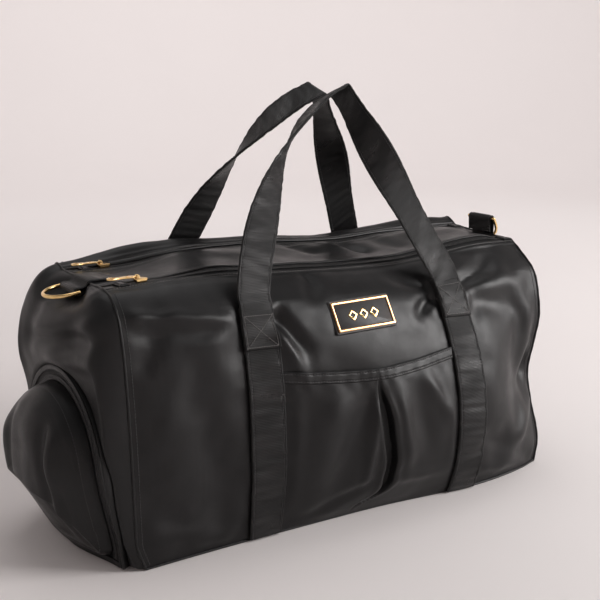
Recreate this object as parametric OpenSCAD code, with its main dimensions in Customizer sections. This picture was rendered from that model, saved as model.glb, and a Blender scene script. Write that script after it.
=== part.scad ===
// Weekender bag: a soft duffel with two parallel top zips, a shoe pocket in its left
// end, a slip pocket between the front straps and two webbing carry handles.
// Frame: origin at the middle of the flat base, +X towards the right end, the front
// wall faces -Y, +Z up. Millimetres.

/* [Body] */
// Length between the two end seams
body_length = 534; // [500:2:600]
// Depth of the flat base, front to back
base_depth = 210; // [200:2:220]
// How far each long wall bulges beyond the base
wall_bulge = 30; // [24:1:34]
// Height of the widest point of the long walls
bulge_height = 108; // [102:1:114]
// Height at which the long walls meet the sloping top strips
shoulder_height = 240; // [236:1:244]
// Height of the flat top
top_height = 272; // [268:1:280]
// Thickness of the outer fabric with its padding
fabric = 2; // [1.6:0.1:2.2]

/* [Top] */
// Distance of each zip from the middle of the top
zip_y = 44; // [40:1:48]
// Width of the gap in the fabric over a zip
zip_gap = 12; // [11:0.5:13]
// Left end of the part of the centre panel that lifts
lid_left = -184; // [-190:1:-184]
// Right end of the part of the centre panel that lifts
lid_right = 208; // [200:1:208]
// Distance of the closed top sliders from the middle
slider_x = 226; // [222:1:228]

/* [Webbing] */
// Width of all the webbing
web_width = 38; // [36:1:40]
// Thickness of one layer of webbing
web_thick = 2; // [1.6:0.1:2.2]
// Distance of each strap from the middle of the bag
strap_x = 125; // [115:1:130]
// Lean of the raised handles towards each other, in degrees
handle_lean = 19; // [17:0.5:19]

/* [Pockets] */
// Height of the front slip pocket's mouth
pocket_mouth = 165; // [150:1:175]
// Room inside the front slip pocket
pocket_room = 10; // [9:0.5:11]
// Half width of the shoe pocket
shoe_half = 92; // [90:1:94]
// Height of the centre of the shoe pocket's round top
shoe_arch_height = 88; // [84:1:90]
// How far the shoe pocket's side wall stands out from the end seam
shoe_depth = 30; // [26:1:34]
// How far the shoe pocket's flap bulges beyond its zip
flap_bulge = 32; // [20:1:34]

/* [Hidden] */

black_nylon = [0.05, 0.05, 0.06];
black_webbing = [0.08, 0.08, 0.09];
black_coil = [0.03, 0.03, 0.03];
gold = [0.85, 0.66, 0.35];
grey_lining = [0.35, 0.35, 0.38];

half_length = body_length / 2;
inner_x = half_length - fabric;
slack = 0.3;
poke = 1;

// Each long wall is one arc, upright at the bulge height.
wall_radius = (pow(bulge_height, 2) + pow(wall_bulge, 2)) / (2 * wall_bulge);
wall_centre_y = wall_radius - base_depth / 2 - wall_bulge;
function wall_y(z, out = 0) =
    wall_centre_y - sqrt(pow(wall_radius + out, 2) - pow(z - bulge_height, 2));
function wall_slope(z) = asin((z - bulge_height) / wall_radius);
wall_steps = 24;
shoulder_y = wall_y(shoulder_height);
shoulder_slope = wall_slope(shoulder_height);
top_edge_y = shoulder_y + (top_height - shoulder_height) * tan(shoulder_slope);

bottom_thick = 2.5;
board_thick = 2.5;
board_top = bottom_thick + board_thick;
board_half_depth = base_depth / 2 - 10;
lining_thick = 0.8;
lining_top = shoulder_height - 2;
seam_z = 3;

// Half of a coil zip: a tape with half of the coil on its inner edge.
tape_thick = 1;
tape_width = 12;
coil_gap = 0.6;
coil_edge = 2.8;
coil_thick = 2;
zip_left = -half_length + 17;
zip_right = half_length - 3;
tab_length = 10;
tab_half = 9;
tab_thick = 1.6;

// Slider, about a chain that lies along X with its tape's upper face at z = 0.
slider_half_length = 6.5;
slider_half_width = 4.4;
slider_wall = 1.2;
slider_roof = coil_thick + 0.4;
slider_roof_top = slider_roof + 1.8;
slider_floor = -tape_thick - 0.4;
slider_floor_thick = 1.4;
post_half = 0.3;
pin_x = -3;
pin_z = slider_roof_top + 2.05;
pin_radius = 0.8;
pin_clearance = 0.08;
ear_inner = 1.7;
ear_outer = 2.7;

// Pull, about its own pin, lying along -X.
pull_length = 27;
pull_half = 4.75;
pull_thick = 1.6;
pull_neck = 4.5;
pull_eye = 1.7;
pull_tongue = 1.35;

anchor_bottom = 200;
anchor_top = 232;
hinge_height = shoulder_height + 3;
hinge_out = 4.5;
hinge_y = wall_y(hinge_height, hinge_out);
handle_half_thick = 1.2;
handle_start = 6.5;
handle_height = 217;
handle_top_x = 28;
leg_steps = 24;
twist_from = 0.3;
twist_to = 0.85;

pocket_half = strap_x - web_width / 2;
hem_height = 12;
hem_thick = 1.6;
inner_pocket_half = 90;
inner_pocket_room = 12;
inner_pocket_bottom = 60;
inner_pocket_top = 150;

plaque_z = 219;
plaque_size = [75, 33];
plaque_margin = 2;
plaque_backing_thick = 1.4;
plaque_border = 3;
plaque_frame_thick = 2;
plaque_inlay_thick = 1.2;
lozenge_pitch = 14;
lozenge_size = 9;
lozenge_thick = 0.6;

ring_wire = 1.9;
ring_half = web_width / 2 + 1 + ring_wire;
ring_straight = 5;
ring_bore = ring_wire + pin_clearance;
ring_loop = ring_bore + 2.2;
left_ring_x = -half_length - 13;
left_ring_z = top_height - 10;
left_ring_hang = 172;
left_tab_reach = 26;
right_ring_x = half_length - ring_loop + 2.3;
right_ring_z = top_height + 15;
right_ring_hang = 62;
tab_foot = 150;

shoe_floor = 2;
shoe_face_x = -half_length - shoe_depth;
shoe_wall = 2;
shoe_chain = 8;
shoe_tape_x = shoe_face_x + coil_thick;
shoe_sill = 9.3;
shoe_flap_inset = 13;
shoe_flap_bottom = 10.4;
tunnel_inset = 8;
tunnel_wall = 1.5;
tunnel_depth = 118;
tunnel_floor = 6;
chain_radius = shoe_half - shoe_chain;

$fn = 96;

// Draws a (Y, Z) outline and pulls it out along X from x0 to x1.
module along_x(x0, x1) {
    translate([x0, 0, 0])
        rotate([90, 0, 90])
            linear_extrude(x1 - x0)
                children();
}

module box(low, high) {
    translate(low)
        cube(high - low);
}

module area(low, high) {
    translate(low)
        square(high - low);
}

// The front wall's outline, or a band outside or inside it, from z0 to z1.
module wall_band(from, to, z0, z1) {
    intersection() {
        translate([wall_centre_y, bulge_height])
            difference() {
                circle(wall_radius + to);
                circle(wall_radius + from);
            }
        area([-base_depth, z0], [0, z1]);
    }
}

// Everything between the two long walls, drawn in by inset, from z0 to z1.
module between_walls(inset, z0, z1) {
    intersection() {
        translate([wall_centre_y, bulge_height])
            circle(wall_radius - inset);
        translate([-wall_centre_y, bulge_height])
            circle(wall_radius - inset);
        area([-base_depth, z0], [base_depth, z1]);
    }
}

// The whole cross-section, up the front wall, over the top and down the back.
module end_outline() {
    front = [for (i = [0 : wall_steps])
        let (z = shoulder_height * i / wall_steps)
        [wall_y(z), z]];
    back = [for (i = [wall_steps : -1 : 0]) [-front[i][0], front[i][1]]];
    polygon(concat(front, [[top_edge_y, top_height], [-top_edge_y, top_height]], back));
}

// A tombstone outline: a half round on two straight legs.
module arch(half, bottom) {
    translate([0, shoe_arch_height])
        circle(half);
    area([-half, bottom], [half, shoe_arch_height]);
}

module arch_area(half, bottom) {
    intersection() {
        arch(half, bottom);
        area([-half, bottom], [half, shoe_arch_height + half]);
    }
}

module arch_band(outer, inner, bottom) {
    difference() {
        arch_area(outer, bottom);
        arch_area(inner, bottom - poke);
    }
}

// Walls, base and lining

module front_panel() {
    color(black_nylon)
        along_x(-inner_x, inner_x)
            wall_band(-fabric, 0, 0, shoulder_height);
}

module back_panel() {
    mirror([0, 1, 0])
        front_panel();
}

module bottom_panel() {
    color(black_nylon)
        along_x(-inner_x, inner_x)
            between_walls(fabric, 0, bottom_thick);
}

module base_board() {
    color("dimgray")
        box([-inner_x + 6, -board_half_depth, bottom_thick],
            [inner_x - 6, board_half_depth, board_top]);
}

module lining() {
    color(grey_lining)
        difference() {
            along_x(-inner_x, inner_x)
                between_walls(fabric, board_top, lining_top);
            along_x(-inner_x - poke, inner_x - lining_thick)
                between_walls(fabric + lining_thick, board_top + lining_thick,
                    lining_top + poke);
        }
}

module inner_slip_pocket() {
    skin = fabric + lining_thick;
    color(grey_lining)
        mirror([0, 1, 0])
            difference() {
                along_x(-inner_pocket_half, inner_pocket_half)
                    wall_band(-skin - inner_pocket_room - 1, -skin,
                        inner_pocket_bottom, inner_pocket_top);
                along_x(1 - inner_pocket_half, inner_pocket_half - 1)
                    wall_band(-skin - inner_pocket_room, poke,
                        inner_pocket_bottom + 1, inner_pocket_top + poke);
            }
}

module left_end_panel() {
    color(black_nylon)
        along_x(-half_length, -inner_x)
            difference() {
                end_outline();
                arch_area(shoe_half - tunnel_inset - tunnel_wall,
                    tunnel_floor + tunnel_wall);
            }
}

module right_end_panel() {
    color(black_nylon)
        along_x(inner_x, half_length)
            end_outline();
}

// Top

module top_front_strip() {
    inner_y = wall_y(shoulder_height, -fabric);
    under = top_height - fabric;
    edge = -zip_y - zip_gap / 2;
    color(black_nylon)
        along_x(-inner_x, inner_x)
            polygon([
                [shoulder_y, shoulder_height],
                [top_edge_y, top_height],
                [edge, top_height],
                [edge, under],
                [inner_y + (under - shoulder_height) * tan(shoulder_slope), under],
                [inner_y, shoulder_height]
            ]);
}

module top_back_strip() {
    mirror([0, 1, 0])
        top_front_strip();
}

module centre_sheet(x0, x1) {
    edge = zip_y - zip_gap / 2;
    color(black_nylon)
        box([x0, -edge, top_height - fabric], [x1, edge, top_height]);
}

module top_left_end() {
    centre_sheet(-inner_x, lid_left - slack);
}

module top_right_end() {
    centre_sheet(lid_right + slack, inner_x);
}

module top_center_panel() {
    centre_sheet(lid_left, lid_right);
}

// Half a zip along X, on the +Y side of its line at y = 0, tape face at z = 0.
module zip_half(x0, x1) {
    color(black_coil)
        along_x(x0, x1) {
            area([coil_gap, -tape_thick], [tape_width, 0]);
            area([coil_gap, 0], [coil_edge, coil_thick]);
        }
}

// Sets its children on the line of the back zip.
module on_back_zip() {
    translate([0, zip_y, top_height - coil_thick])
        children();
}

module back_zip_outer() {
    on_back_zip()
        zip_half(zip_left, zip_right);
}

module back_zip_inner() {
    on_back_zip()
        mirror([0, 1, 0])
            zip_half(lid_left, lid_right);
}

module back_zip_ends() {
    on_back_zip()
        mirror([0, 1, 0]) {
            zip_half(zip_left, lid_left - slack);
            zip_half(lid_right + slack, zip_right);
        }
}

module front_zip_outer() {
    mirror([0, 1, 0])
        back_zip_outer();
}

module front_zip_inner() {
    mirror([0, 1, 0])
        back_zip_inner();
}

module front_zip_ends() {
    mirror([0, 1, 0])
        back_zip_ends();
}

module zip_tab(x0, y) {
    color(black_nylon)
        box([x0, y - tab_half, top_height],
            [x0 + tab_length, y + tab_half, top_height + tab_thick]);
}

module front_zip_left_tab() {
    zip_tab(zip_left, -zip_y);
}

module front_zip_right_tab() {
    zip_tab(zip_right - tab_length, -zip_y);
}

module back_zip_left_tab() {
    zip_tab(zip_left, zip_y);
}

module back_zip_right_tab() {
    zip_tab(zip_right - tab_length, zip_y);
}

// The slider runs over both halves of the coil. Its post passes between them.
// floor_edge is how far its lower plate reaches on the +Y side.
module zip_slider(floor_edge) {
    color(gold) {
        translate([0, 0, slider_roof])
            linear_extrude(slider_roof_top - slider_roof)
                intersection() {
                    square([2 * slider_half_length, 2 * slider_half_width], center = true);
                    circle(slider_half_length + 0.6);
                }
        for (side = [-1, 1])
            translate([0, side * (slider_half_width - slider_wall / 2), slider_roof / 2 + 0.25])
                cube([10, slider_wall, slider_roof - 0.4], center = true);
        box([-4.5, -post_half, slider_floor - 0.1], [-0.5, post_half, slider_roof + 0.1]);
        box([-6, -slider_half_width, slider_floor - slider_floor_thick],
            [6, floor_edge, slider_floor]);
        for (side = [-1, 1])
            translate([pin_x, side * (ear_inner + ear_outer) / 2, 0])
                rotate([90, 0, 0])
                    linear_extrude(ear_outer - ear_inner, center = true) {
                        area([-1.5, slider_roof_top - 0.1], [1.5, pin_z]);
                        translate([0, pin_z])
                            circle(1.5);
                    }
        translate([pin_x, 0, pin_z])
            rotate([90, 0, 0])
                cylinder(r = pin_radius, h = 2 * ear_outer, center = true);
    }
}

module pull_outline() {
    difference() {
        union() {
            translate([-pull_length, 0])
                circle(pull_half);
            polygon([
                [-pull_neck, -3.4], [-pull_neck, 3.4], [-13, 3.4],
                [-17, 2.9], [-pull_length, pull_half], [-pull_length, -pull_half],
                [-17, -2.9], [-13, -3.4]
            ]);
            area([-pull_neck - 1, -pull_tongue], [0, pull_tongue]);
        }
        translate([-pull_length, 0])
            circle(2.6);
        area([-12.2, -1.2], [-9.8, 1.2]);
    }
}

// A pull tab that turns on the slider's pin, which lies along Y.
module zip_pull() {
    color(gold)
        difference() {
            union() {
                linear_extrude(pull_thick, center = true)
                    pull_outline();
                rotate([90, 0, 0])
                    cylinder(r = pull_eye, h = 2 * pull_tongue, center = true);
            }
            rotate([90, 0, 0])
                cylinder(r = pin_radius + pin_clearance, h = 4, center = true);
        }
}

module front_zip_slider() {
    translate([-slider_x, -zip_y, top_height - coil_thick])
        zip_slider(slider_half_width);
}

module front_zip_pull() {
    translate([pin_x - slider_x, -zip_y, top_height - coil_thick + pin_z])
        zip_pull();
}

module back_zip_slider() {
    translate([-slider_x, zip_y, top_height - coil_thick])
        zip_slider(slider_half_width);
}

module back_zip_pull() {
    translate([pin_x - slider_x, zip_y, top_height - coil_thick + pin_z])
        zip_pull();
}

// Front slip pocket

module front_pocket() {
    color(black_nylon)
        difference() {
            along_x(-pocket_half, pocket_half)
                wall_band(0, pocket_room + fabric, seam_z, pocket_mouth);
            along_x(fabric - pocket_half, pocket_half - fabric)
                wall_band(-poke, pocket_room, seam_z + fabric, pocket_mouth + poke);
        }
}

module pocket_hem() {
    color(black_nylon)
        along_x(-pocket_half, pocket_half)
            wall_band(pocket_room + fabric, pocket_room + fabric + hem_thick,
                pocket_mouth - hem_height, pocket_mouth);
}

// Webbing straps, and the stitched ends of the handles on top of them

module strap(x) {
    color(black_webbing)
        along_x(x - web_width / 2, x + web_width / 2)
            wall_band(0, web_thick, seam_z, shoulder_height);
}

module anchor(x) {
    color(black_webbing)
        along_x(x - web_width / 2, x + web_width / 2)
            wall_band(web_thick, 2 * web_thick, anchor_bottom, anchor_top);
}

module front_left_strap() {
    strap(-strap_x);
}

module front_right_strap() {
    strap(strap_x);
}

module back_left_strap() {
    mirror([0, 1, 0])
        strap(-strap_x);
}

module back_right_strap() {
    mirror([0, 1, 0])
        strap(strap_x);
}

module front_left_anchor() {
    anchor(-strap_x);
}

module front_right_anchor() {
    anchor(strap_x);
}

module back_left_anchor() {
    mirror([0, 1, 0])
        anchor(-strap_x);
}

module back_right_anchor() {
    mirror([0, 1, 0])
        anchor(strap_x);
}

// A handle's middle line in its own upright plane, as two cubic curves that meet
// at the top. The top sits right of the middle, as one hand gathers both handles.
function cubic(a, b, c, d, t) =
    pow(1 - t, 3) * a + 3 * pow(1 - t, 2) * t * b + 3 * (1 - t) * pow(t, 2) * c
        + pow(t, 3) * d;
function cubic_slope(a, b, c, d, t) =
    pow(1 - t, 2) * (b - a) + 2 * (1 - t) * t * (c - b) + pow(t, 2) * (d - c);
left_leg = [[-strap_x, handle_start], [-strap_x + 4, 40], [-62, 190],
    [handle_top_x, handle_height]];
right_leg = [[handle_top_x, handle_height], [38, handle_height - 8], [strap_x - 12, 42],
    [strap_x, handle_start]];
function leg_point(leg, t) = cubic(leg[0], leg[1], leg[2], leg[3], t);
function leg_slope(leg, t) = cubic_slope(leg[0], leg[1], leg[2], leg[3], t);
function ease(t) =
    let (s = max(0, min(1, (t - twist_from) / (twist_to - twist_from))))
    s * s * (3 - 2 * s);

// Four corners of the webbing at one place. turn is 0 where the webbing lies in
// the handle's plane and 90 where it stands square to it.
function web_ring(point, slope, turn) =
    let (
        along = slope / norm(slope),
        wide = [cos(turn) * along[1], sin(turn), -cos(turn) * along[0]],
        thick = cross([along[0], 0, along[1]], wide),
        w = wide * web_width / 2,
        h = thick * handle_half_thick,
        p = [point[0], 0, point[1]]
    )
    [p - w - h, p + w - h, p + w + h, p - w + h];

handle_rings = concat(
    [for (i = [0 : leg_steps])
        let (t = i / leg_steps)
        web_ring(leg_point(left_leg, t), leg_slope(left_leg, t), 90 * ease(t))],
    [for (i = [1 : leg_steps])
        let (t = i / leg_steps)
        web_ring(leg_point(right_leg, t), leg_slope(right_leg, t), 90 * ease(1 - t))]
);

module handle() {
    last = len(handle_rings) - 1;
    points = [for (ring = handle_rings) for (corner = ring) corner];
    sides = [for (i = [0 : last - 1]) for (j = [0 : 3])
        let (k = (j + 1) % 4)
        [4 * i + j, 4 * (i + 1) + j, 4 * (i + 1) + k, 4 * i + k]];
    ends = [[0, 1, 2, 3], [4 * last + 3, 4 * last + 2, 4 * last + 1, 4 * last]];
    triangles = [for (f = concat(sides, ends)) for (k = [1, 2]) [f[0], f[k], f[k + 1]]];
    color(black_webbing)
        polyhedron(points, triangles);
}

module front_handle() {
    translate([0, hinge_y, hinge_height])
        rotate([-handle_lean, 0, 0])
            handle();
}

module back_handle() {
    translate([0, -hinge_y, hinge_height])
        rotate([handle_lean, 0, 0])
            handle();
}

// Plaque: a backing patch, a raised gold frame, a dark inlay and three lozenges.
// Sets its children on the front wall, with z = 0 on the wall and +Z outwards.
module on_plaque() {
    slope = wall_slope(plaque_z);
    translate([0, wall_y(plaque_z), plaque_z])
        rotate([90 - slope, 0, 0])
            children();
}

module plaque_backing() {
    color("black")
        on_plaque()
            translate([0, 0, plaque_backing_thick / 2])
                cube([plaque_size[0] + 2 * plaque_margin, plaque_size[1] + 2 * plaque_margin,
                    plaque_backing_thick], center = true);
}

module plaque_frame() {
    color(gold)
        on_plaque()
            translate([0, 0, plaque_backing_thick])
                linear_extrude(plaque_frame_thick)
                    difference() {
                        square(plaque_size, center = true);
                        square(plaque_size - [2, 2] * plaque_border, center = true);
                    }
}

module plaque_inlay() {
    color("black")
        on_plaque()
            translate([0, 0, plaque_backing_thick])
                linear_extrude(plaque_inlay_thick)
                    square(plaque_size - [2, 2] * plaque_border, center = true);
}

module plaque_emblem() {
    color(gold)
        on_plaque()
            for (i = [-1 : 1])
                translate([i * lozenge_pitch, 0, plaque_backing_thick + plaque_inlay_thick])
                    linear_extrude(lozenge_thick)
                        rotate(45)
                            square(lozenge_size, center = true);
}

// Webbing tabs at the two ends, each looped round the bar of a D-ring

module across_y(half) {
    rotate([90, 0, 0])
        linear_extrude(2 * half, center = true)
            children();
}

module web_loop(x, z) {
    translate([x, z])
        difference() {
            circle(ring_loop);
            circle(ring_bore);
        }
}

// Lies on the top, folds over the left edge and stands out from the end with its loop.
module left_ring_tab() {
    outer = -half_length - web_thick;
    top = top_height + web_thick;
    low = left_ring_z - web_thick / 2;
    color(black_webbing)
        across_y(web_width / 2) {
            area([outer, top_height], [-half_length + left_tab_reach, top]);
            area([outer, low], [-half_length, top]);
            area([left_ring_x + ring_bore + 0.6, low], [-half_length, low + web_thick]);
            web_loop(left_ring_x, left_ring_z);
        }
}

// Runs up the right end and stands above the top edge with its loop.
module right_ring_tab() {
    inner = right_ring_x - ring_loop;
    outer = right_ring_x + ring_loop;
    color(black_webbing)
        across_y(web_width / 2) {
            area([outer - web_thick, tab_foot], [outer, right_ring_z]);
            area([half_length, tab_foot], [outer, top_height - 6]);
            area([inner, top_height], [inner + web_thick, right_ring_z]);
            web_loop(right_ring_x, right_ring_z);
        }
}

// A D-ring with its bar along Y through the origin, lying towards +X.
module d_ring() {
    color(gold) {
        rotate([90, 0, 0])
            cylinder(r = ring_wire, h = 2 * ring_half, center = true);
        for (side = [-1, 1])
            translate([0, side * ring_half, 0]) {
                sphere(ring_wire);
                rotate([0, 90, 0])
                    cylinder(r = ring_wire, h = ring_straight);
            }
        translate([ring_straight, 0, 0])
            rotate([0, 0, -90])
                rotate_extrude(angle = 180)
                    translate([ring_half, 0])
                        circle(ring_wire);
    }
}

module left_d_ring() {
    translate([left_ring_x, 0, left_ring_z])
        rotate([0, left_ring_hang, 0])
            d_ring();
}

module right_d_ring() {
    translate([right_ring_x, 0, right_ring_z])
        rotate([0, right_ring_hang, 0])
            d_ring();
}

// Shoe pocket

module shoe_pocket_gusset() {
    color(black_nylon) {
        along_x(shoe_face_x, -half_length)
            difference() {
                arch_area(shoe_half, shoe_floor);
                arch_area(shoe_half - shoe_wall, shoe_floor + shoe_wall);
            }
        box([shoe_face_x, -shoe_half + shoe_wall, shoe_floor + shoe_wall],
            [shoe_tape_x + tape_thick, shoe_half - shoe_wall, shoe_sill]);
    }
}

module shoe_compartment() {
    half = shoe_half - tunnel_inset;
    inner_end = -inner_x + tunnel_depth;
    color(grey_lining)
        difference() {
            along_x(-inner_x, inner_end)
                arch_area(half, tunnel_floor);
            along_x(-inner_x - poke, inner_end - tunnel_wall)
                arch_area(half - tunnel_wall, tunnel_floor + tunnel_wall);
        }
}

module shoe_zip_outer() {
    bottom = shoe_flap_bottom;
    color(black_coil) {
        along_x(shoe_tape_x, shoe_tape_x + tape_thick)
            arch_band(shoe_half - shoe_wall, chain_radius + coil_gap, bottom);
        along_x(shoe_face_x, shoe_tape_x)
            arch_band(chain_radius + coil_edge, chain_radius + coil_gap, bottom);
    }
}

module shoe_zip_inner() {
    bottom = shoe_flap_bottom;
    color(black_coil) {
        along_x(shoe_tape_x, shoe_tape_x + tape_thick)
            arch_band(chain_radius - coil_gap, shoe_half - shoe_flap_inset - 2, bottom);
        along_x(shoe_face_x, shoe_tape_x)
            arch_band(chain_radius - coil_gap, chain_radius - coil_edge, bottom);
    }
}

// The flap is a dome over a tombstone outline: every ring is the outline drawn in
// towards the middle and pushed out along a parabola.
flap_half = shoe_half - shoe_flap_inset;
flap_middle = 78;
flap_rings = 8;
flap_arc_steps = 28;
flap_leg_steps = 7;
flap_bottom_steps = 12;
flap_outline = concat(
    [for (i = [0 : flap_arc_steps])
        let (a = 180 * i / flap_arc_steps)
        [flap_half * cos(a), shoe_arch_height + flap_half * sin(a)]],
    [for (i = [1 : flap_leg_steps])
        [-flap_half, shoe_arch_height
            - (shoe_arch_height - shoe_flap_bottom) * i / flap_leg_steps]],
    [for (i = [1 : flap_bottom_steps])
        [-flap_half + 2 * flap_half * i / flap_bottom_steps, shoe_flap_bottom]],
    [for (i = [1 : flap_leg_steps - 1])
        [flap_half, shoe_flap_bottom
            + (shoe_arch_height - shoe_flap_bottom) * i / flap_leg_steps]]
);
flap_count = len(flap_outline);
function flap_ring(scale, x) =
    [for (p = flap_outline)
        [x - flap_bulge * (1 - scale * scale), p[0] * scale,
            flap_middle + (p[1] - flap_middle) * scale]];
function flap_sheet(x) = [for (k = [0 : flap_rings - 1]) each flap_ring(1 - k / flap_rings, x)];

module shoe_flap() {
    n = flap_count;
    face = n * flap_rings + 1;
    outer = concat(flap_sheet(shoe_face_x), [[shoe_face_x - flap_bulge, 0, flap_middle]]);
    inner = concat(flap_sheet(shoe_tape_x), [[shoe_tape_x - flap_bulge, 0, flap_middle]]);
    centre = face - 1;
    quads = [for (k = [0 : flap_rings - 2]) for (i = [0 : n - 1])
        let (j = (i + 1) % n)
        [k * n + i, k * n + j, (k + 1) * n + j, (k + 1) * n + i]];
    cap = [for (i = [0 : n - 1])
        [(flap_rings - 1) * n + i, (flap_rings - 1) * n + (i + 1) % n, centre]];
    sheet = concat([for (q = quads) for (t = [1, 2]) [q[0], q[t], q[t + 1]]], cap);
    back = [for (f = sheet) [f[2] + face, f[1] + face, f[0] + face]];
    rim = [for (i = [0 : n - 1]) let (j = (i + 1) % n) each [
        [i, face + i, face + j],
        [i, face + j, j]]];
    color(black_nylon)
        polyhedron(concat(outer, inner), concat(sheet, back, rim));
}

// Sets its children on the shoe zip where the straight leg at the back meets the
// arch: the children's +Z points out of the end and their +X points up.
module on_shoe_zip() {
    translate([shoe_tape_x, chain_radius, shoe_arch_height])
        rotate([0, -90, 0])
            children();
}

module shoe_zip_slider() {
    on_shoe_zip()
        zip_slider(post_half);
}

module shoe_zip_pull() {
    on_shoe_zip()
        translate([pin_x, 0, pin_z])
            zip_pull();
}

front_panel();
back_panel();
bottom_panel();
base_board();
lining();
inner_slip_pocket();
left_end_panel();
right_end_panel();
top_front_strip();
top_back_strip();
top_left_end();
top_right_end();
top_center_panel();
front_zip_outer();
front_zip_inner();
front_zip_ends();
back_zip_outer();
back_zip_inner();
back_zip_ends();
front_zip_left_tab();
front_zip_right_tab();
back_zip_left_tab();
back_zip_right_tab();
front_zip_slider();
front_zip_pull();
back_zip_slider();
back_zip_pull();
front_pocket();
pocket_hem();
front_left_strap();
front_right_strap();
back_left_strap();
back_right_strap();
front_left_anchor();
front_right_anchor();
back_left_anchor();
back_right_anchor();
front_handle();
back_handle();
plaque_backing();
plaque_frame();
plaque_inlay();
plaque_emblem();
left_ring_tab();
right_ring_tab();
left_d_ring();
right_d_ring();
shoe_pocket_gusset();
shoe_compartment();
shoe_zip_outer();
shoe_zip_inner();
shoe_flap();
shoe_zip_slider();
shoe_zip_pull();
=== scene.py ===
import math

import bpy
import numpy as np
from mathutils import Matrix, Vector


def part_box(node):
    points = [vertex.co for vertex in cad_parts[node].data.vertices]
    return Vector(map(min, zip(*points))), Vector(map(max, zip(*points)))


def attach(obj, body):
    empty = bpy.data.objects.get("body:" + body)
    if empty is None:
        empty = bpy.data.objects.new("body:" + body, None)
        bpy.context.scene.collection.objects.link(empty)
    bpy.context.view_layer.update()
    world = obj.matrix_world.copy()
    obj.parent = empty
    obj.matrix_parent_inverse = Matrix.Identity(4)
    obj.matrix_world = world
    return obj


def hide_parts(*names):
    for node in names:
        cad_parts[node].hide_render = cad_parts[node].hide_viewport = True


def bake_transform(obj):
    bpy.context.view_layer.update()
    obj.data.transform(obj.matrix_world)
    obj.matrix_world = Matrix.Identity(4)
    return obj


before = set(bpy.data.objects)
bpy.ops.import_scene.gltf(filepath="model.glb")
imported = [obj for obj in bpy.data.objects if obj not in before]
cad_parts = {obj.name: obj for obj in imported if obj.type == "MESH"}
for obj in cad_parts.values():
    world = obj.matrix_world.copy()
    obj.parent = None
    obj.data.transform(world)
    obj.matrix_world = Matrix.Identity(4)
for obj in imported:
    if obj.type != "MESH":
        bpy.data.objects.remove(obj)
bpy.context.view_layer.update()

# Lengths are in millimetres until build() turns them into metres.
MM = 0.001

# The bag
END_X = 267.0
WALL_EDGE = 50.0
PANEL_EDGE = 38.0
ZIP_Y = 44.0
ZIP_FROM = -250.0
ZIP_TO = 264.0
FABRIC = 1.6
WEB = 38.0
STRAP_X = 125.0
STRAP_TOP = 240.0
ANCHOR_LOW = 200.0
ANCHOR_HIGH = 233.0

# Handles: the CAD hinge, lean and middle line
HINGE_Y = 91.52
HINGE_Z = 243.0
HANDLE_LEAN = 19.0
HANDLE_THICK = 2.4
LEFT_LEG = ((-125, 5), (-121, 40), (-62, 190), (28, 217))
RIGHT_LEG = ((28, 217), (38, 209), (104, 45), (125, 5))
TWIST_FROM = 0.3
TWIST_TO = 0.85

# Front pocket, hem and plaque
POCKET_HALF = 106.0
HEM_TALL = 12.0
HEM_X = (-124, -62, 2, 56, 124)
HEM_Z = (178, 170, 165, 167, 174)
PLAQUE_Z = 219.0
PLAQUE_SIZE = (75.0, 33.0)
PLAQUE_BORDER = 3.0
LOZENGE = 9.0
LOZENGE_PITCH = 14.0

# Sewing: stitches inside a folded edge and off a webbing's middle, and the zips' tape
EDGE_ROW = 3.3
WEB_ROW = 15.8
TAPE_THICK = 0.7

# Shoe pocket
SHOE_HALF = 92.0
SHOE_CENTRE_Z = 88.0
SHOE_CHAIN = 84.0
SHOE_BULGE = 47.0
FLAP_RADIUS = 80.6
FLAP_CORNER = 9.0
TUNNEL_RADIUS = 82.0
TUNNEL_END_X = -149.0


# Smooth curves and grids of points

def hermite(t):
    """The four weights of a smooth curve between two knots."""
    return 2 * t**3 - 3 * t**2 + 1, t**3 - 2 * t**2 + t, 3 * t**2 - 2 * t**3, t**3 - t**2


def through(knots, values, at):
    """A smooth curve that passes through the values at the knots."""
    k = np.asarray(knots, float)
    v = np.asarray(values, float)
    at = np.clip(np.asarray(at, float), k[0], k[-1])
    slope = np.gradient(v, k, axis=0)
    i = np.clip(np.searchsorted(k, at, side="right") - 1, 0, len(k) - 2)
    width = k[i + 1] - k[i]
    t = (at - k[i]) / width
    if v.ndim > 1:
        t = t[..., None]
        width = width[..., None]
    a, b, c, d = hermite(t)
    return a * v[i] + b * width * slope[i] + c * v[i + 1] + d * width * slope[i + 1]


def both(a, b):
    """Two values as arrays of one shape."""
    return np.broadcast_arrays(np.asarray(a, float), np.asarray(b, float))


def stacked(x, y, z):
    """Points from three coordinates, each an array or one number."""
    return np.stack(np.broadcast_arrays(x, y, z), axis=-1)


def looped(rows):
    """Rows with the first one again at the end."""
    return np.concatenate([rows, rows[:1]])


def run_along(path):
    """How far along a path each of its points is."""
    return np.concatenate([[0], np.cumsum(np.linalg.norm(np.diff(path, axis=0), axis=1))])


def sampled(path, length, at):
    """The path's points at these distances along it."""
    return np.stack([np.interp(at, length, path[:, i]) for i in range(3)], axis=-1)


def numbered(rows, columns):
    """The point numbers of a grid."""
    return np.arange(rows * columns).reshape(rows, columns)


def cells(index):
    """The corners of each cell in a grid of point numbers."""
    corners = (index[:-1, :-1], index[1:, :-1], index[1:, 1:], index[:-1, 1:])
    return np.stack(corners, axis=-1).reshape(-1, 4)


def turned_over(quads):
    """The same quads, facing the other way."""
    return quads[:, [0, 3, 2, 1]]


def step(low, high, at):
    """0 below low, 1 above high, and a smooth rise between them."""
    t = np.clip((np.asarray(at, float) - low) / (high - low), 0, 1)
    return t * t * (3 - 2 * t)


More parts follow.
